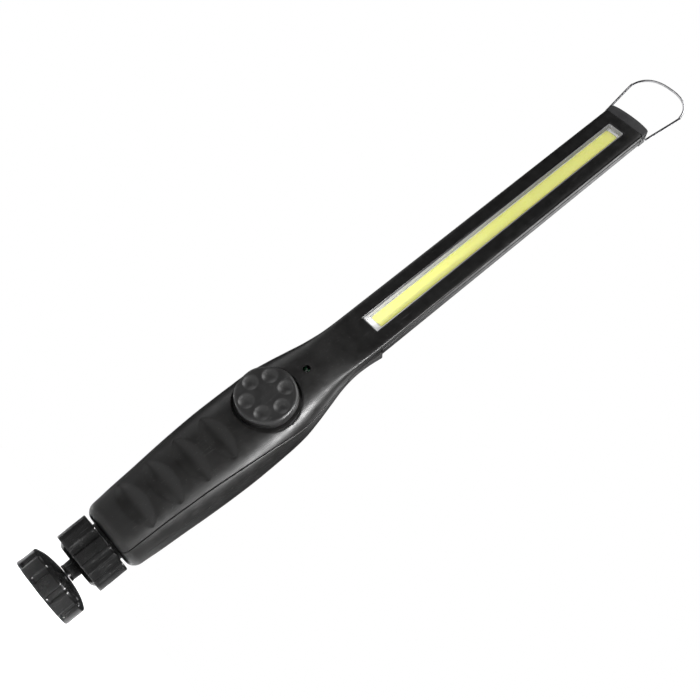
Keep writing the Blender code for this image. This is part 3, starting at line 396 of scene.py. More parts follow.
class Surface:
    """A procedural material: colour, roughness and relief all vary over the surface."""

    def __init__(self, name, colour, metallic=0.0, specular=0.5):
        self.material = bpy.data.materials.new(name)
        self.material.use_nodes = True
        self.tree = self.material.node_tree
        self.shader = self.tree.nodes["Principled BSDF"]
        self.shader.inputs["Metallic"].default_value = metallic
        self.shader.inputs["Specular IOR Level"].default_value = specular
        self.coordinates = self.tree.nodes.new("ShaderNodeTexCoord").outputs["Object"]
        self.colour = colour
        self.bumped = None

    def link(self, output, target):
        self.tree.links.new(output, target)

    def noise(self, scale, detail=3.0, stretch=None, rough=0.55):
        """Fractal noise on the piece's own coordinates, drawn out by a different scale on each axis."""
        node = self.tree.nodes.new("ShaderNodeTexNoise")
        node.inputs["Scale"].default_value = scale
        node.inputs["Detail"].default_value = detail
        node.inputs["Roughness"].default_value = rough
        source = self.coordinates
        if stretch:
            mapping = self.tree.nodes.new("ShaderNodeMapping")
            mapping.inputs["Scale"].default_value = stretch
            self.link(source, mapping.inputs["Vector"])
            source = mapping.outputs["Vector"]
        self.link(source, node.inputs["Vector"])
        return node.outputs["Fac"]

    def ranged(self, value, low, high, to_low, to_high):
        """The value mapped from one range to another, and held at its ends."""
        node = self.tree.nodes.new("ShaderNodeMapRange")
        node.inputs["From Min"].default_value = low
        node.inputs["From Max"].default_value = high
        node.inputs["To Min"].default_value = to_low
        node.inputs["To Max"].default_value = to_high
        self.link(value, node.inputs["Value"])
        return node.outputs["Result"]

    def math(self, a, b, operation="ADD"):
        """The node that works out a and b, each a socket or a number."""
        node = self.tree.nodes.new("ShaderNodeMath")
        node.operation = operation
        for value, socket in ((a, node.inputs[0]), (b, node.inputs[1])):
            if isinstance(value, (int, float)):
                socket.default_value = value
            else:
                self.link(value, socket)
        return node.outputs["Value"]

    def tones(self, value, stops):
        """The base colour, made darker or lighter by the value through (place, factor) stops."""
        ramp = self.tree.nodes.new("ShaderNodeValToRGB")
        for _ in stops[2:]:
            ramp.color_ramp.elements.new(0.5)
        for element, (place, factor) in zip(ramp.color_ramp.elements, stops):
            element.position = place
            element.color = scaled_colour(self.colour, factor)
        self.link(value, ramp.inputs["Fac"])
        return ramp.outputs["Color"]

    def blend(self, factor, first, second):
        """A mix of a colour socket with a fixed colour."""
        node = self.tree.nodes.new("ShaderNodeMix")
        node.data_type = "RGBA"
        self.link(factor, node.inputs["Factor"])
        self.link(first, node.inputs["A"])
        node.inputs["B"].default_value = second
        return node.outputs["Result"]

    def relief(self, value, distance, strength):
        """Fine bumps on top of those there already."""
        node = self.tree.nodes.new("ShaderNodeBump")
        node.inputs["Distance"].default_value = distance
        node.inputs["Strength"].default_value = strength
        self.link(value, node.inputs["Height"])
        if self.bumped is not None:
            self.link(self.bumped, node.inputs["Normal"])
        self.bumped = node.outputs["Normal"]

    def glow(self, colour, strength):
        self.shader.inputs["Emission Color"].default_value = (*colour, 1.0)
        self.shader.inputs["Emission Strength"].default_value = strength

    def finish(self, colour, roughness):
        self.link(colour, self.shader.inputs["Base Color"])
        self.link(roughness, self.shader.inputs["Roughness"])
        if self.bumped is not None:
            self.link(self.bumped, self.shader.inputs["Normal"])
        return self.material


def moulded(name, colour, roughness, grain=1.0, wear=0.2, specular=0.4):
    """Moulded plastic: spark-eroded grain, soft flow marks, handling marks and a trace of dust."""
    s = Surface(name, colour, specular=specular)
    broad = s.noise(22.0, 2.0)
    mottled = s.noise(170.0, 5.0)
    fine = s.noise(2600.0, 3.0, rough=0.7)
    streaks = s.noise(1.0, 4.0, stretch=(2100.0, 2100.0, 90.0), rough=0.65)
    scuffs = s.ranged(streaks, 0.62, 0.74, 0.0, wear)
    base = s.tones(s.math(s.math(broad, 0.6, "MULTIPLY"), s.math(mottled, 0.4, "MULTIPLY")),
                   ((0.3, 0.8), (0.5, 1.0), (0.7, 1.25)))
    specks = s.ranged(s.noise(1500.0, 2.0), 0.68, 0.76, 0.0, 0.25)
    pale = scaled_colour(tuple(0.10 + 0.5 * c for c in colour), 1.0)
    tinted = s.blend(s.math(specks, scuffs, "MAXIMUM"), base, pale)
    rough = s.math(s.ranged(mottled, 0.3, 0.7, roughness - 0.07, roughness + 0.07),
                  s.math(s.ranged(fine, 0.3, 0.7, -0.05, 0.05), scuffs))
    s.relief(fine, 0.05 * MM, 0.28 * grain)
    s.relief(s.noise(420.0, 3.0), 0.06 * MM, 0.10 * grain)
    s.relief(scuffs, 0.01 * MM, 0.3)
    return s.finish(tinted, rough)


def metal(name, colour, roughness, spots=0.3):
    """Plated metal: drawing marks along one way, cloudy tarnish and small pits."""
    s = Surface(name, colour, metallic=1.0)
    cloudy = s.noise(140.0, 5.0)
    marks = s.noise(1.0, 3.0, stretch=(3000.0, 3000.0, 300.0), rough=0.6)
    pits = s.ranged(s.noise(1900.0, 2.0), 0.66, 0.74, 0.0, spots)
    base = s.tones(cloudy, ((0.25, 0.72), (0.55, 1.0), (0.8, 1.08)))
    dulled = s.blend(pits, base, scaled_colour(colour, 0.35))
    rough = s.math(s.ranged(cloudy, 0.3, 0.7, roughness * 0.6, roughness * 1.5),
                  s.ranged(marks, 0.35, 0.65, 0.0, roughness * 0.5))
    s.relief(marks, 0.02 * MM, 0.25)
    s.relief(pits, 0.02 * MM, 0.4)
    return s.finish(dulled, rough)


def phosphor(name, colour):
    """Silicone gel full of phosphor: a fine granular body with a soft sheen, slow colour drift and a faint
    painted glow that brightens the unlit strip's yellow.
    """
    s = Surface(name, colour, specular=0.35)
    # painted light: the strip is unlit, yet it is given a faint yellow glow to brighten it
    s.glow((0.80, 0.74, 0.14), 0.08)
    s.shader.inputs["Subsurface Weight"].default_value = 0.15
    s.shader.inputs["Subsurface Scale"].default_value = 0.4 * MM
    grains = s.noise(3800.0, 3.0, rough=0.75)
    drift = s.noise(1.0, 2.0, stretch=(90.0, 90.0, 16.0))
    base = s.tones(s.math(s.math(grains, 0.45, "MULTIPLY"), s.math(drift, 0.55, "MULTIPLY")),
                   ((0.25, 0.86), (0.5, 1.0), (0.75, 1.08)))
    rough = s.ranged(grains, 0.3, 0.7, 0.36, 0.62)
    s.relief(grains, 0.05 * MM, 0.35)
    s.relief(s.noise(300.0, 2.0), 0.08 * MM, 0.2)
    return s.finish(base, rough)


def clear(name, tint):
    """Clear moulded sheet: faint flow lines, a few smears."""
    s = Surface(name, tint)
    s.shader.inputs["Alpha"].default_value = 0.10
    smears = s.noise(60.0, 4.0)
    flow = s.noise(1.0, 2.0, stretch=(500.0, 500.0, 25.0))
    base = s.tones(smears, ((0.3, 0.97), (0.6, 1.0)))
    rough = s.ranged(smears, 0.45, 0.7, 0.03, 0.13)
    s.relief(flow, 0.02 * MM, 0.12)
    return s.finish(base, rough)


def painted_board(name, colour):
    """Solder mask: a woven laminate showing faintly through glossy lacquer."""
    s = Surface(name, colour)
    weave = s.noise(1.0, 2.0, stretch=(1400.0, 1400.0, 220.0))
    cross = s.noise(1.0, 2.0, stretch=(220.0, 220.0, 1400.0))
    both = s.math(s.math(weave, 0.5, "MULTIPLY"), s.math(cross, 0.5, "MULTIPLY"))
    base = s.tones(both, ((0.3, 0.85), (0.5, 1.0), (0.7, 1.1)))
    s.relief(both, 0.04 * MM, 0.3)
    return s.finish(base, s.ranged(s.noise(200.0), 0.3, 0.7, 0.25, 0.5))


FINISHES = {
    "case_black": moulded("case_black", (0.004, 0.0039, 0.0038), 0.38, grain=1.0, specular=0.2),
    "case_grey": moulded("case_grey", (0.022, 0.022, 0.023), 0.46, grain=1.0, specular=0.3),
    "knob_black": moulded("knob_black", (0.007, 0.0069, 0.0069), 0.42, grain=0.8, wear=0.28, specular=0.3),
    "nut_black": moulded("nut_black", (0.003, 0.003, 0.003), 0.22, grain=0.5, specular=0.19),
    "rubber_black": moulded("rubber_black", (0.010, 0.0098, 0.0098), 0.6, grain=1.6, specular=0.3),
    "reflector_white": moulded("reflector_white", (0.24, 0.24, 0.243), 0.35, grain=0.5, wear=0.05),
    "lens_clear": clear("lens_clear", (0.97, 0.97, 0.97)),
    "phosphor_yellow": phosphor("phosphor_yellow", (0.58, 0.59, 0.012)),
    "board_white": painted_board("board_white", (0.72, 0.72, 0.72)),
    "board_green": painted_board("board_green", (0.02, 0.16, 0.06)),
    "heat_sink": metal("heat_sink", (0.6, 0.6, 0.62), 0.35),
    "zinc_steel": metal("zinc_steel", (0.45, 0.45, 0.46), 0.32),
    "chrome_wire": metal("chrome_wire", (0.36, 0.36, 0.37), 0.16, spots=0.15),
    "magnet_nickel": metal("magnet_nickel", (0.5, 0.49, 0.47), 0.25),
    "cell_blue": moulded("cell_blue", (0.03, 0.12, 0.35), 0.35, grain=0.4),
    "lead_red": moulded("lead_red", (0.5, 0.03, 0.03), 0.45, grain=0.4),
    "lead_black": moulded("lead_black", (0.03, 0.03, 0.03), 0.45, grain=0.4),
    "indicator_clear": clear("indicator_clear", (0.85, 0.9, 0.85)),
}


def dress(obj, body, slot, *nodes):
    """Gives a fine piece its finish, the body it rides on, its slot and the CAD nodes it stands for."""
    obj.data.materials.clear()
    obj.data.materials.append(FINISHES[slot])
    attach(obj, body)
    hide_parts(*nodes)
    return obj


# ---------------------------------------------------------------- casing


def spaced(bottom, top, step):
    """Even heights from bottom to top, no further apart than the step."""
    return list(np.linspace(bottom, top, max(2, math.ceil((top - bottom) / step)) + 1))


def handle_rows(top):
    """Heights of a shell's sections: fine round the bottom edge and over the grip."""
    floor_top = HANDLE_BOTTOM + HANDLE_FLOOR
    turn = [HANDLE_BOTTOM + CORNER * (1 - math.cos(t)) for t in np.linspace(0, math.pi / 2, 22)]
    below = [z for z in turn if z < floor_top - 0.05 * MM] + [floor_top]
    grip_from, grip_to = GROOVES[0] - GROOVE_MARGIN, GROOVES[-1] + GROOVE_MARGIN
    neck_from = KNOB_AXIS + 18 * MM
    above = [floor_top + 0.2 * MM] + [z for z in turn if z > floor_top + 0.3 * MM]
    above += spaced(HANDLE_BOTTOM + CORNER, grip_from, 0.9 * MM)[1:]
    above += spaced(grip_from, grip_to, 0.36 * MM)[1:]
    above += spaced(grip_to, neck_from, 0.5 * MM)[1:]
    above += spaced(neck_from, NECK_TOP - EDGE_STEPS[-1], 0.9 * MM)[1:]
    if top > NECK_TOP:
        above += spaced(NECK_TOP, top - EDGE_STEPS[-1], 5.0 * MM)
    above += [top - d for d in EDGE_STEPS[::-1][1:]]
    return below, above


def grip_relief(x, height):
    """The leaf-shaped finger grooves and the rounded mouth of the knob's pocket."""
    sink = np.zeros_like(x)
    for centre in GROOVES:
        reach = np.clip(1 - (x / GROOVE_HALF_LENGTH) ** 2, 0.0, 1.0)
        half = GROOVE_HALF_WIDTH * reach**0.6 + 1e-9
        across = np.clip(1 - ((height - centre) / half) ** 2, 0.0, 1.0) ** 1.9
        sink = np.maximum(sink, GROOVE_DEPTH * reach**0.4 * across)
    from_mouth = np.hypot(x, height - KNOB_AXIS) - POCKET_RADIUS
    mouth = np.where(from_mouth > 0, rounded(from_mouth, POCKET_EDGE), POCKET_EDGE)
    return sink + mouth


def shell(name, front, top, wall, relief=None, bottom=None):
    """A shell of the casing up to the top; without a bottom it starts with the handle's floor."""
    if bottom is None:
        below, above = handle_rows(top)
    else:
        below, above = [], [bottom + d for d in EDGE_STEPS]
        above += spaced(bottom + EDGE_STEPS[-1], top - EDGE_STEPS[-1], 4.0 * MM)[1:]
        above += [top - d for d in EDGE_STEPS[::-1][1:]]
    sections = []
    for z in (*below, *above):
        end = top - z if bottom is None else min(top - z, z - bottom)
        sections.append(shell_row(z, front, wall, end, relief, z in below))
    return loft(name, sections)


def along_y(name, x, z, start, end, radius, sides=64):
    """A cylinder along Y, from start to end."""
    return cylinder(name, (x, start, z), (x, end, z), radius, sides)


front_shell = shell("front_shell_fine", True, HEAD_TOP, WALL, grip_relief)
cut(
    front_shell,
    along_y("plate", 0, KNOB_AXIS, POCKET_FLOOR - 0.4 * MM, POCKET_FLOOR + WALL, POCKET_RADIUS - CLEAR),
    operation="UNION",
)
outside = WINDOW_EDGE + 1.0 * MM
cut(
    front_shell,
    along_y("pocket", 0, KNOB_AXIS, -BEYOND, POCKET_FLOOR, POCKET_RADIUS, 160),
    along_y("shaft", 0, KNOB_AXIS, -BEYOND, 0, SHAFT_HOLE),
    along_y("indicator", 0, INDICATOR, -BEYOND, FACE, INDICATOR_HOLE),
    rounded_prism(
        "window",
        (
            (
                FACE - 1.0 * MM,
                WINDOW_HALF_WIDTH + outside,
                WINDOW_BOTTOM - outside,
                WINDOW_TOP + outside,
            ),
            (FACE + WINDOW_EDGE, WINDOW_HALF_WIDTH, WINDOW_BOTTOM, WINDOW_TOP),
            (HEAD_LEVEL, WINDOW_HALF_WIDTH, WINDOW_BOTTOM, WINDOW_TOP),
        ),
        0.5 * MM,
    ),
)
dress(front_shell, "lamp", "case_black", "front_shell")


def tube(name, points, radius, sides=20):
    """A round wire through the points, closed at both ends."""
    points = [Vector(p) for p in points]
    bm = bmesh.new()
    rings = []
    side = None
    for i, point in enumerate(points):
        ahead = points[min(i + 1, len(points) - 1)] - points[max(i - 1, 0)]
        ahead.normalize()
        if side is None:
            side = ahead.orthogonal().normalized()
        side = (side - ahead * side.dot(ahead)).normalized()
        up = ahead.cross(side)
        ring = []
        for k in range(sides):
            a = 2 * math.pi * k / sides
            ring.append(bm.verts.new(point + radius * (math.cos(a) * side + math.sin(a) * up)))
        rings.append(ring)
    for low, high in zip(rings, rings[1:]):
        for k in range(sides):
            j = (k + 1) % sides
            bm.faces.new((low[k], low[j], high[j], high[k]))
    bm.faces.new(rings[0])
    bm.faces.new(rings[-1])
    return collect(bm, name, 50)


def cover_section(height, margin):
    """The port cover's section; with a margin, the opening that it sits in."""
    share = max(height - COVER_BOTTOM, 0) / (COVER_TOP - COVER_BOTTOM)
    shift = 0.0 if margin else 0.5 * CLEAR
    proud = 2 * WALL if margin else COVER_LIP * share**2 - SKIN
    depth = 2 * WALL if margin else WALL
    first = COVER_FROM - (COVER_GAP_BELOW if margin else 0.0)
    last = station(height)[-1] + (COVER_GAP_ABOVE if margin else 0.0)
    angles = np.linspace(first, last, COVER_COLUMNS)
    outer = [(x, y + shift, height) for x, y in outline(height, angles, -proud)]
    inner = [(x, y + shift, height) for x, y in outline(height, angles, depth)]
    return outer, inner


rear_shell = shell("rear_shell_fine", False, NECK_TOP, WALL)
posts = []
for x, z in SCREWS:
    end = level_at(abs(x) + POST_RADIUS, z, False) - CLEAR
    posts.append(along_y("post", x, z, POST_FROM, end, POST_RADIUS, 32))
cut(rear_shell, *posts, operation="UNION")
cutters = []
for x, z in SCREWS:
    cutters.append(along_y("clearance", x, z, 0, BEYOND, SCREW_HOLE, 32))
    cutters.append(along_y("counterbore", x, z, SCREW_SEAT, BEYOND, SCREW_RECESS, 48))
opening_rows = spaced(COVER_BOTTOM - CLEAR, NECK_TOP + 2 * MM, 1.2 * MM)
cutters.append(loft("opening", [cover_section(z, True) for z in opening_rows]))
for side in (1, -1):
    line = []
    for z in spaced(44 * MM, 100 * MM, 1.5 * MM):
        angle = math.radians(np.interp(z / MM, MOULD_LINE_HEIGHTS, MOULD_LINE_ANGLES))
        x, y = outline(z, np.array([angle]), -0.02 * MM)[0]
        line.append((side * x, y, z))
    cutters.append(tube("mould_line", line, MOULD_LINE_RADIUS, 8))
cut(rear_shell, *cutters)
dress(rear_shell, "lamp", "case_black", "rear_shell")

head_back = shell("head_back_fine", False, HEAD_TOP, HEAD_BACK_WALL, bottom=NECK_TOP + CLEAR)
dress(head_back, "lamp", "case_black", "head_back_cover")


# ---------------------------------------------------------------- lit window


FRAME_FRONT = FACE + 0.1 * MM
FRAME_BACK = FRAME_FRONT + 2.2 * MM
FRAME_RIM = 0.45 * MM
FRAME_CHAMFER = 0.25 * MM
FRAME_TAPER = 0.55 * MM
frame_half = WINDOW_HALF_WIDTH - CLEAR
frame_low, frame_high = WINDOW_BOTTOM + CLEAR, WINDOW_TOP - CLEAR
reflector = rounded_prism(
    "reflector_frame_fine",
    (
        (FRAME_FRONT + 0.12 * MM, frame_half, frame_low, frame_high),
        (FRAME_BACK, frame_half, frame_low, frame_high),
    ),
    0.45 * MM,
)
inner = frame_half - FRAME_RIM
low, high = frame_low + FRAME_RIM, frame_high - FRAME_RIM
cut(
    reflector,
    rounded_prism(
        "opening",
        (
            (FRAME_FRONT - 0.3 * MM, inner + FRAME_CHAMFER, low - FRAME_CHAMFER, high + FRAME_CHAMFER),
            (FRAME_FRONT + FRAME_CHAMFER, inner, low, high),
            (FRAME_BACK + 0.1 * MM, inner - FRAME_TAPER, low + FRAME_TAPER, high - FRAME_TAPER),
        ),
        0.4 * MM,
    ),
)
dress(reflector, "lamp", "reflector_white", "reflector_frame")

LENS_BACK = FRAME_BACK - 0.5 * MM
LENS_THICKNESS = 0.6 * MM
LENS_CHAMFER = 0.1 * MM
LENS_MARGIN = 1.6 * MM  # from the window's ends
lens_half = frame_half - 1.3 * MM
lens_low, lens_high = WINDOW_BOTTOM + LENS_MARGIN, WINDOW_TOP - LENS_MARGIN
lens_front = LENS_BACK - LENS_THICKNESS
lens = rounded_prism(
    "window_lens_fine",
    (
        (lens_front, lens_half - LENS_CHAMFER, lens_low + LENS_CHAMFER, lens_high - LENS_CHAMFER),
        (lens_front + LENS_CHAMFER, lens_half, lens_low, lens_high),
        (LENS_BACK, lens_half, lens_low, lens_high),
    ),
    0.4 * MM,
)
dress(lens, "lamp", "lens_clear", "window_lens")

STRIP_FRONT = LENS_BACK + 0.3 * MM
STRIP_HALF_WIDTH = 3.6 * MM
STRIP_LOW = WINDOW_BOTTOM + 4.3 * MM
STRIP_HIGH = WINDOW_TOP - 3.0 * MM
STRIP_EDGE = ((0.0, 0.9), (0.03, 0.5), (0.08, 0.22), (0.16, 0.05), (0.3, 0.0))  # depth and draw-in, mm
strip_layers = []
for deep, draw in STRIP_EDGE:
    draw *= MM
    strip_layers.append(
        (STRIP_FRONT + deep * MM, STRIP_HALF_WIDTH - draw, STRIP_LOW + draw, STRIP_HIGH - draw)
    )
strip = rounded_prism("cob_phosphor_fine", strip_layers, 1.0 * MM, 10)
dress(strip, "lamp", "phosphor_yellow", "cob_phosphor_strip")


# ---------------------------------------------------------------- end cap and bail


CAP_BOTTOM = HEAD_TOP + CLEAR
CAP_SIDE = 4.2 * MM
CAP_CROWN = 2.2 * MM
CAP_HALF_DEPTH = 4.57 * MM
CAP_EDGE = 1.0 * MM
TENON_DEPTH = 3.5 * MM
TENON_FRONT = FACE + 2.4 * MM
TENON_BACK = 0.8 * MM
PIVOT = (HEAD_MIDDLE, 380.1 * MM)  # y, z
PIVOT_HOLE = 0.9 * MM
PIVOT_DEPTH = 3.2 * MM
BAIL_RADIUS = 0.59 * MM
BAIL_HALF_WIDTH = 16.7 * MM
BAIL_PEAK = 419.15 * MM
BAIL_SHOULDER = 15.5 * MM  # height of the round part
BAIL_BEND = 0.9 * MM


def end_cap():
    """A crowned cap: its outline is drawn out in Y, and its edges are rounded but for the foot's."""
    bm = bmesh.new()
    half_width = HEAD_HALF_WIDTH - SKIN
    points = [(half_width, CAP_BOTTOM)]
    for a in np.linspace(0, math.pi, 72):
        points.append((half_width * math.cos(a), CAP_BOTTOM + CAP_SIDE + (CAP_CROWN - SKIN) * math.sin(a)))
    points.append((-half_width, CAP_BOTTOM))
    front, back = HEAD_MIDDLE - CAP_HALF_DEPTH, HEAD_MIDDLE + CAP_HALF_DEPTH
    near = [bm.verts.new((x, front, z)) for x, z in points]
    far = [bm.verts.new((x, back, z)) for x, z in points]
    bm.faces.new(near)
    bm.faces.new(far)
    for i in range(len(points)):
        j = (i + 1) % len(points)
        bm.faces.new((near[i], near[j], far[j], far[i]))
    bmesh.ops.recalc_face_normals(bm, faces=bm.faces)
    rims = []
    for edge in bm.edges:
        ends = [v.co for v in edge.verts]
        at_foot = all(abs(co.z - CAP_BOTTOM) < 1e-6 for co in ends)
        across = abs(ends[0].y - ends[1].y) > 1 * MM
        if not at_foot and not across:
            rims.append(edge)
    bmesh.ops.bevel(
        bm, geom=rims, offset=CAP_EDGE, segments=6, profile=0.5, affect="EDGES", clamp_overlap=True
    )
    return collect(bm, "end_cap_fine", 40)


cap = end_cap()
pivot_cutters = []
for side in (1, -1):
    start = (side * (HEAD_HALF_WIDTH - PIVOT_DEPTH), *PIVOT)
    end = (side * (HEAD_HALF_WIDTH + 2 * MM), *PIVOT)
    pivot_cutters.append(cylinder("pivot", start, end, PIVOT_HOLE, 32))
cut(cap, *pivot_cutters)
tenon_half = HEAD_HALF_WIDTH - 3.6 * MM
tenon = rounded_prism(
    "tenon",
    (
        (TENON_FRONT, tenon_half, HEAD_TOP - TENON_DEPTH, CAP_BOTTOM + 1 * MM),
        (TENON_BACK, tenon_half, HEAD_TOP - TENON_DEPTH, CAP_BOTTOM + 1 * MM),
    ),
    0.4 * MM,
)
cut(cap, tenon, operation="UNION")
dress(cap, "lamp", "case_grey", "end_cap")


def bail_points():
    """The D-shaped wire: pins into the cap, straight legs, round shoulders and a flatter top."""
    leg = HEAD_HALF_WIDTH + 1.2 * MM
    shoulder = BAIL_PEAK - BAIL_SHOULDER
    level, foot = PIVOT
    right = [(HEAD_HALF_WIDTH - 2.6 * MM, foot), (leg - BAIL_BEND, foot)]
    for a in np.linspace(0.15, math.pi / 2, 7):
        right.append((leg - BAIL_BEND + BAIL_BEND * math.sin(a), foot + BAIL_BEND - BAIL_BEND * math.cos(a)))
    loop = []
    for a in np.linspace(0, math.pi / 2, 12)[:-1]:
        loop.append((BAIL_HALF_WIDTH * math.cos(a) ** 0.8, shoulder + BAIL_SHOULDER * math.sin(a) ** 0.9))
    control = [Vector((x, 0, z)) for x, z in (right[-1], *loop, (0, BAIL_PEAK))]
    control.append(Vector((-loop[-1][0], 0, loop[-1][1])))
    padded = [control[0] - Vector((0, 0, 4 * MM)), *control]
    for a, b, c, d in zip(padded, padded[1:], padded[2:], padded[3:]):
        for t in np.linspace(0, 1, 9)[1:]:
            bent = (2 * a - 5 * b + 4 * c - d) * t**2 + (3 * b - a - 3 * c + d) * t**3
            point = 0.5 * (2 * b + (c - a) * t + bent)
            right.append((point.x, point.z))
    right = [(x, z) for x, z in right if x > 1e-6]
    left = [(-x, z) for x, z in reversed(right)]
    return [(x, level, z) for x, z in (*right, (0, BAIL_PEAK), *left)]


bail = tube("bail_fine", bail_points(), BAIL_RADIUS, 24)
dress(bail, "hanging_bail", "chrome_wire", "bail")


# ---------------------------------------------------------------- knob


DIMPLES = [math.radians(9 + 60 * i) for i in range(6)]
DIMPLE_RING = 9.4 * MM
DIMPLE_SPHERE = 6.0 * MM
DIMPLE_DEPTH = 1.3 * MM
DIMPLE_SOFT = 0.14 * MM  # how far a dimple's edge blends into the face
KNOB_HEIGHT = 5.6 * MM
KNOB_FLAT = 13.1 * MM  # radius where the rim starts to turn down
KNOB_RIM = 1.5 * MM
KNOB_DISH = 0.18 * MM
KNOB_LOBE = 0.22 * MM
KNOB_BORE_DEPTH = 4.0 * MM
RELIEF_FROM = 5 * MM  # only the face is dimpled: above this height and within this radius
RELIEF_WITHIN = 14 * MM


def dimple_depth(x, y):
    """How deep the six spherical dimples sink here."""
    sink = 0.0
    for d in DIMPLES:
        apart = math.hypot(x - DIMPLE_RING * math.cos(d), y - DIMPLE_RING * math.sin(d))
        if apart < DIMPLE_SPHERE:
            depth = math.sqrt(DIMPLE_SPHERE**2 - apart**2) - (DIMPLE_SPHERE - DIMPLE_DEPTH)
            if depth > -4 * DIMPLE_SOFT:
                sink = max(sink, DIMPLE_SOFT * math.log1p(math.exp(depth / DIMPLE_SOFT)))
    return sink


def knob_top(radius, height, angle):
    """A faintly dished face with six spherical dimples, and a rim that draws in beside each of them."""
    near = max(math.cos(angle - d) for d in DIMPLES)
    at_rim = float(smoothstep((radius - 12 * MM) / (2 * MM)))
    reach = radius - KNOB_LOBE * float(smoothstep((near - 0.94) / 0.06)) * at_rim
    if height < RELIEF_FROM or radius > RELIEF_WITHIN:
        return reach, height
    sink = dimple_depth(reach * math.cos(angle), reach * math.sin(angle))
    dish = KNOB_DISH * float(smoothstep(1 - radius / (6 * MM)))
    return reach, height - sink - dish


def knob():
    face = KNOB_HEIGHT - SKIN
    rim = KNOB_RADIUS - SKIN
    profile = [(0, face)] + [(r, face) for r in np.linspace(0.3 * MM, KNOB_FLAT, 56)]
    for t in np.linspace(0, math.pi / 2, 9)[1:]:
        profile.append((KNOB_FLAT + (rim - KNOB_FLAT) * math.sin(t), face - KNOB_RIM * (1 - math.cos(t))))
    profile += [(rim, 0.5 * MM), (KNOB_RADIUS - 0.15 * MM, 0.12 * MM), (KNOB_RADIUS - 0.5 * MM, 0.0)]
    profile += [(SHAFT_HOLE, 0.0), (SHAFT_HOLE, KNOB_BORE_DEPTH), (0, KNOB_BORE_DEPTH)]
    made = turned("dimmer_knob_fine", profile, 288, knob_top)
    out = Matrix.Translation((0, KNOB_BACK, KNOB_AXIS)) @ Matrix.Rotation(math.radians(90), 4, "X")
    made.data.transform(out)
    return made


dress(knob(), "knob", "knob_black", "dimmer_knob")

LED_RADIUS = 1.5 * MM
LED_BODY = 1.9 * MM  # height of the cylinder under the dome
LED_LEVEL = -7.6 * MM
led_turns = np.linspace(0.15, math.pi / 2, 10)
led = turned(
    "indicator_led_fine",
    [(0, LED_BODY + LED_RADIUS)]
    + [(LED_RADIUS * math.sin(t), LED_BODY + LED_RADIUS * math.cos(t)) for t in led_turns]
    + [(LED_RADIUS, -1.0 * MM), (1.2 * MM, -1.2 * MM), (0, -1.2 * MM)],
    48,
)
led.data.transform(Matrix.Translation((0, LED_LEVEL, INDICATOR)) @ Matrix.Rotation(math.radians(90), 4, "X"))
dress(led, "lamp", "indicator_clear", "indicator_led")


# ---------------------------------------------------------------- port cover


cover_rows = spaced(COVER_BOTTOM, COVER_TOP, 0.7 * MM)
cover = loft("port_cover_fine", [cover_section(z, False) for z in cover_rows])
edges = cover.modifiers.new("edges", "BEVEL")
edges.width = 0.3 * MM
edges.segments = 3
edges.limit_method = "ANGLE"
edges.angle_limit = math.radians(50)
TONGUE_HALF_LENGTH = 3 * MM  # of the tongue that fills the charging port
TONGUE_HALF_WIDTH = 1.0 * MM
TONGUE_AT = (11.5 * MM, 0, 175 * MM)
tongue = rounded_prism(
    "tongue",
    [(y, TONGUE_HALF_WIDTH, -TONGUE_HALF_LENGTH, TONGUE_HALF_LENGTH) for y in (-1.1 * MM, -0.1 * MM)],
    0.3 * MM,
)
tongue.data.transform(Matrix.Translation(TONGUE_AT))
cut(cover, tongue, operation="UNION")
dress(cover, "charging_cover", "rubber_black", "port_cover")


# ---------------------------------------------------------------- collar nut, ball, stem and foot


def in_mm(*points):
    """(radius, height) points given in millimetres."""
    return [(radius * MM, height * MM) for radius, height in points]


def refined(profile, step):
    """The profile with long stretches divided, so that a wobble can follow them."""
    found = []
    for i, here in enumerate(profile):
        after = profile[(i + 1) % len(profile)]
        count = max(1, math.ceil(math.dist(here, after) / step))
        start, run = np.array(here), np.array(after) - np.array(here)
        found += [tuple(start + run * k / count) for k in range(count)]
    return found


LOBES = 10  # round the nut, and round the foot
NUT_SCALLOP = 1.4 * MM
NUT_PROFILE = in_mm(
    (9.9, 33.4), (9.9, 23.8), (6.2, 23.8), (5.3, 21.1), (9.0, 20.8), (9.0, 17.6), (10.4, 17.6),
    (12.8, 19.4), (13.1, 19.05), (15.07, 19.05), (15.07, 33.37),
)


def nut_lobes(radius, height, angle):
    """Ten finger scallops with crisp ridges between them, fading out toward the bore."""
    wave = max(0.0, -math.cos(LOBES * angle)) ** 0.8
    dip = NUT_SCALLOP * wave * float(smoothstep((radius - 12.6 * MM) / (1.6 * MM)))
    return radius - dip, height


nut = turned("collar_nut_fine", refined(soften(NUT_PROFILE, 0.4 * MM), 0.6 * MM), 360, nut_lobes)
dress(nut, "collar", "nut_black", "collar_nut")


BALL_CENTRE = 25.0 * MM
BALL_RADIUS = 6.28 * MM
BALL_HOLE = 2.3 * MM
BALL_HOLE_TOP = BALL_CENTRE + 2.9 * MM
ball_foot = -math.degrees(math.acos(BALL_HOLE / BALL_RADIUS))
ball_turns = np.radians(np.linspace(86, ball_foot, 44))
ball_profile = [(0, BALL_CENTRE + BALL_RADIUS)]
ball_profile += [(BALL_RADIUS * math.cos(a), BALL_CENTRE + BALL_RADIUS * math.sin(a)) for a in ball_turns]
ball_profile += [(BALL_HOLE, BALL_HOLE_TOP), (0, BALL_HOLE_TOP)]
dress(turned("ball_fine", ball_profile, 96), "ball", "nut_black", "ball")

STEM_TOP = 27.6 * MM
STEM_BORE_TOP = 18.2 * MM
STEM_PROFILE = in_mm(
    (2.0, 27.6), (2.0, 19.1), (2.9, 19.1), (2.9, 18.6), (4.18, 17.9), (4.0, 13.6), (4.35, 12.72),
    (1.55, 12.72), (1.55, 18.2),
)
stem = turned("stem_fine", [(0, STEM_TOP), *soften(STEM_PROFILE, 0.4 * MM), (0, STEM_BORE_TOP)], 96)
dress(stem, "foot", "nut_black", "stem")


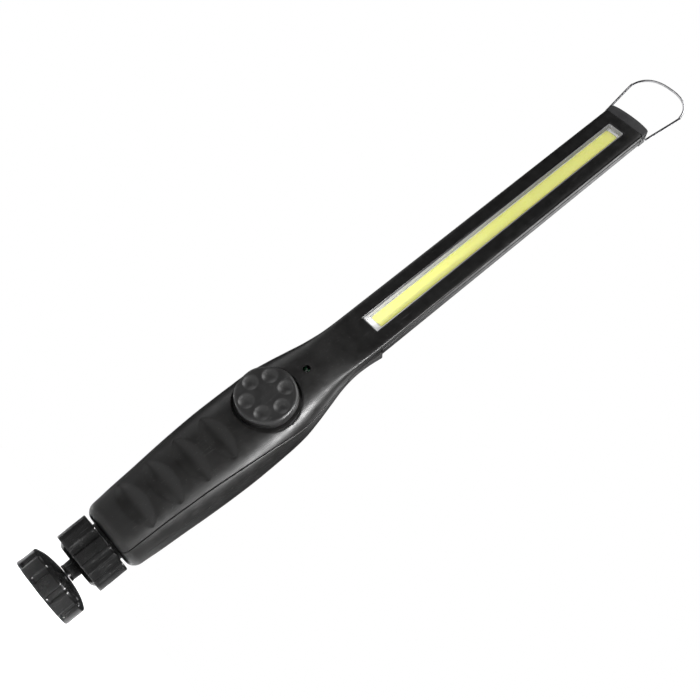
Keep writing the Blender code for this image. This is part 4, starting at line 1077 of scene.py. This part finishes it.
FOOT_NOTCH = 1.15 * MM
FOOT_SCALLOP = 0.66 * MM
FOOT_PROFILE = in_mm(
    (14.3, 0.0), (16.6, 0.0), (16.95, 0.35), (16.95, 1.0), (16.95, 8.6), (16.75, 9.3), (16.1, 9.75),
    (14.3, 10.5), (12.3, 11.2), (9.8, 11.75), (7.2, 12.12), (5.2, 12.3), (4.6, 12.38), (1.55, 12.38),
    (1.55, 6.9), (2.9, 6.9), (2.9, 4.8), (14.3, 4.8),
)


def foot_notches(radius, height, angle):
    """Ten U-shaped grips pressed into the rim, fading out on the dome."""
    wave = max(0.0, -math.cos(LOBES * angle))
    fade = float(smoothstep((radius - 13.6 * MM) / (2.6 * MM)))
    above = float(smoothstep((height - 1.0 * MM) / (0.8 * MM)))
    notch = FOOT_NOTCH * float(smoothstep((wave - 0.35) / 0.45)) * fade * above
    return radius - max(notch, FOOT_SCALLOP * wave**1.5 * fade), height


foot = turned("magnet_foot_fine", refined(FOOT_PROFILE, 0.5 * MM), 360, foot_notches)
dress(foot, "foot", "nut_black", "magnet_foot")

MAGNET_THICKNESS = 3.0 * MM
magnet_edge = soften(in_mm((13.98, 3.0), (13.98, 0.0)), 0.4 * MM)
magnet = turned("foot_magnet_fine", [(0, MAGNET_THICKNESS), *magnet_edge, (0, 0.0)], 128)
dress(magnet, "foot", "magnet_nickel", "foot_magnet")


# ---------------------------------------------------------------- screws and the pieces inside


SCREW_HEAD_TOP = 1.5 * MM
SCREW_TIP = -10.5 * MM
SCREW_PROFILE = in_mm((1.5, 1.5), (1.9, 1.0), (1.9, 0), (1.1, 0), (1.1, -9.5))
SCREW_LEVEL = SCREW_SEAT + CLEAR
BLADE_HALF_WIDTH = 0.22 * MM  # of the cross recess
BLADE_HALF_LENGTH = 1.15 * MM
BLADE_FLOOR = 0.75 * MM
BLADE_TOP = 2.5 * MM
for i, (x, z) in enumerate(SCREWS):
    profile = [(0, SCREW_HEAD_TOP), *soften(SCREW_PROFILE, 0.2 * MM), (0, SCREW_TIP)]
    screw = turned(f"case_screw_fine_{i + 1}", profile, 48)
    for turn in (25, 115):
        faces = (-BLADE_HALF_WIDTH, BLADE_HALF_WIDTH)
        layers = [(y, BLADE_HALF_LENGTH, BLADE_FLOOR, BLADE_TOP) for y in faces]
        blade = rounded_prism("blade", layers, 0.15 * MM)
        blade.data.transform(Matrix.Rotation(math.radians(turn + 17 * i), 4, "Z"))
        cut(screw, blade)
    outward = Matrix.Rotation(math.radians(-90), 4, "X")
    screw.data.transform(Matrix.Translation((x, SCREW_LEVEL, z)) @ outward)
    dress(screw, "lamp", "zinc_steel", f"case_screw_{i + 1}")

INSIDE = {
    "ball_socket": "nut_black",
    "ball_seat_ring": "reflector_white",
    "backing_plate": "zinc_steel",
    "foot_screw": "zinc_steel",
    "cob_board": "board_white",
    "heat_sink_strip": "heat_sink",
    "dimmer_potentiometer": "zinc_steel",
    "dimmer_shaft": "zinc_steel",
    "driver_board": "board_green",
    "charging_board": "board_green",
    "micro_usb_inlet": "zinc_steel",
    "lithium_cell": "cell_blue",
    "cell_tab_negative": "zinc_steel",
    "cell_tab_positive": "zinc_steel",
    "lead_positive": "lead_red",
    "lead_negative": "lead_black",
    "strip_lead_positive": "lead_red",
    "strip_lead_negative": "lead_black",
}
for node, slot in INSIDE.items():
    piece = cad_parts[node]
    piece.data.materials.clear()
    piece.data.materials.append(FINISHES[slot])


# ---------------------------------------------------------------- floor, light and camera


def floor():
    """A plain sheet of white paper."""
    bm = bmesh.new()
    bmesh.ops.create_grid(bm, x_segments=1, y_segments=1, size=6.0)
    made = collect(bm, "floor")
    s = Surface("floor_paper", (0.86, 0.86, 0.86), specular=0.2)
    s.glow((1.0, 1.0, 1.0), 0.4)
    mottled = s.noise(3.0, 3.0)
    colour = s.tones(mottled, ((0.3, 0.99), (0.7, 1.0)))
    s.relief(s.noise(700.0, 2.0), 0.05 * MM, 0.1)
    made.data.materials.append(s.finish(colour, s.ranged(mottled, 0.3, 0.7, 0.75, 0.85)))


def area_light(name, location, target, size, watts, spread=180):
    data = bpy.data.lights.new(name, "AREA")
    data.shape = "RECTANGLE"
    data.size, data.size_y = size
    data.energy = watts
    data.spread = math.radians(spread)
    obj = bpy.data.objects.new(name, data)
    bpy.context.scene.collection.objects.link(obj)
    obj.location = location
    aim = Vector(target) - Vector(location)
    obj.rotation_euler = aim.to_track_quat("-Z", "Y").to_euler()


def sun_light(name, direction, strength, angle):
    data = bpy.data.lights.new(name, "SUN")
    data.energy = strength
    data.angle = math.radians(angle)
    obj = bpy.data.objects.new(name, data)
    bpy.context.scene.collection.objects.link(obj)
    obj.rotation_euler = Vector(direction).to_track_quat("-Z", "Y").to_euler()


def surroundings(seen, ambient):
    """A world that looks one colour to the camera and lights the scene with another."""
    world = bpy.data.worlds.new("studio")
    world.use_nodes = True
    nodes, links = world.node_tree.nodes, world.node_tree.links
    nodes["Background"].inputs["Color"].default_value = (*ambient, 1.0)
    paper = nodes.new("ShaderNodeBackground")
    paper.inputs["Color"].default_value = (*seen, 1.0)
    either = nodes.new("ShaderNodeMixShader")
    links.new(nodes.new("ShaderNodeLightPath").outputs["Is Camera Ray"], either.inputs["Fac"])
    links.new(nodes["Background"].outputs["Background"], either.inputs[1])
    links.new(paper.outputs["Background"], either.inputs[2])
    links.new(either.outputs["Shader"], nodes["World Output"].inputs["Surface"])
    bpy.context.scene.world = world


floor()
area_light("side_strip", (0.60, -0.32, 0.34), (0.0, 0.0, 0.06), (0.08, 0.26), 0.5, 22)
area_light("left_soft", (-0.75, -0.25, 0.45), (0.0, 0.0, 0.2), (0.4, 0.5), 2.0)
area_light("back_soft", (0.45, 0.60, 0.75), (0.0, 0.0, 0.25), (0.4, 0.4), 3.0)
sun_light("sky_panel", (-0.17, 0.42, -1.0), 3.3, 35)
surroundings((1.0, 1.0, 1.0), (0.05, 0.05, 0.052))
bpy.context.scene.view_settings.view_transform = "Standard"

CAMERA_AT = (0.1698, -0.4133, 0.0251)
CAMERA_RIGHT = Vector((0.6731, 0.0050, 0.7395))
CAMERA_UP = Vector((-0.6472, -0.4799, 0.5924))
lens_data = bpy.data.cameras.new("camera")
lens_data.lens = 50.4
lens_data.sensor_width = 36.0
camera = bpy.data.objects.new("camera", lens_data)
bpy.context.scene.collection.objects.link(camera)
facing = Matrix((CAMERA_RIGHT, CAMERA_UP, CAMERA_RIGHT.cross(CAMERA_UP))).transposed().to_4x4()
camera.matrix_world = Matrix.Translation(CAMERA_AT) @ facing
bpy.context.scene.camera = camera
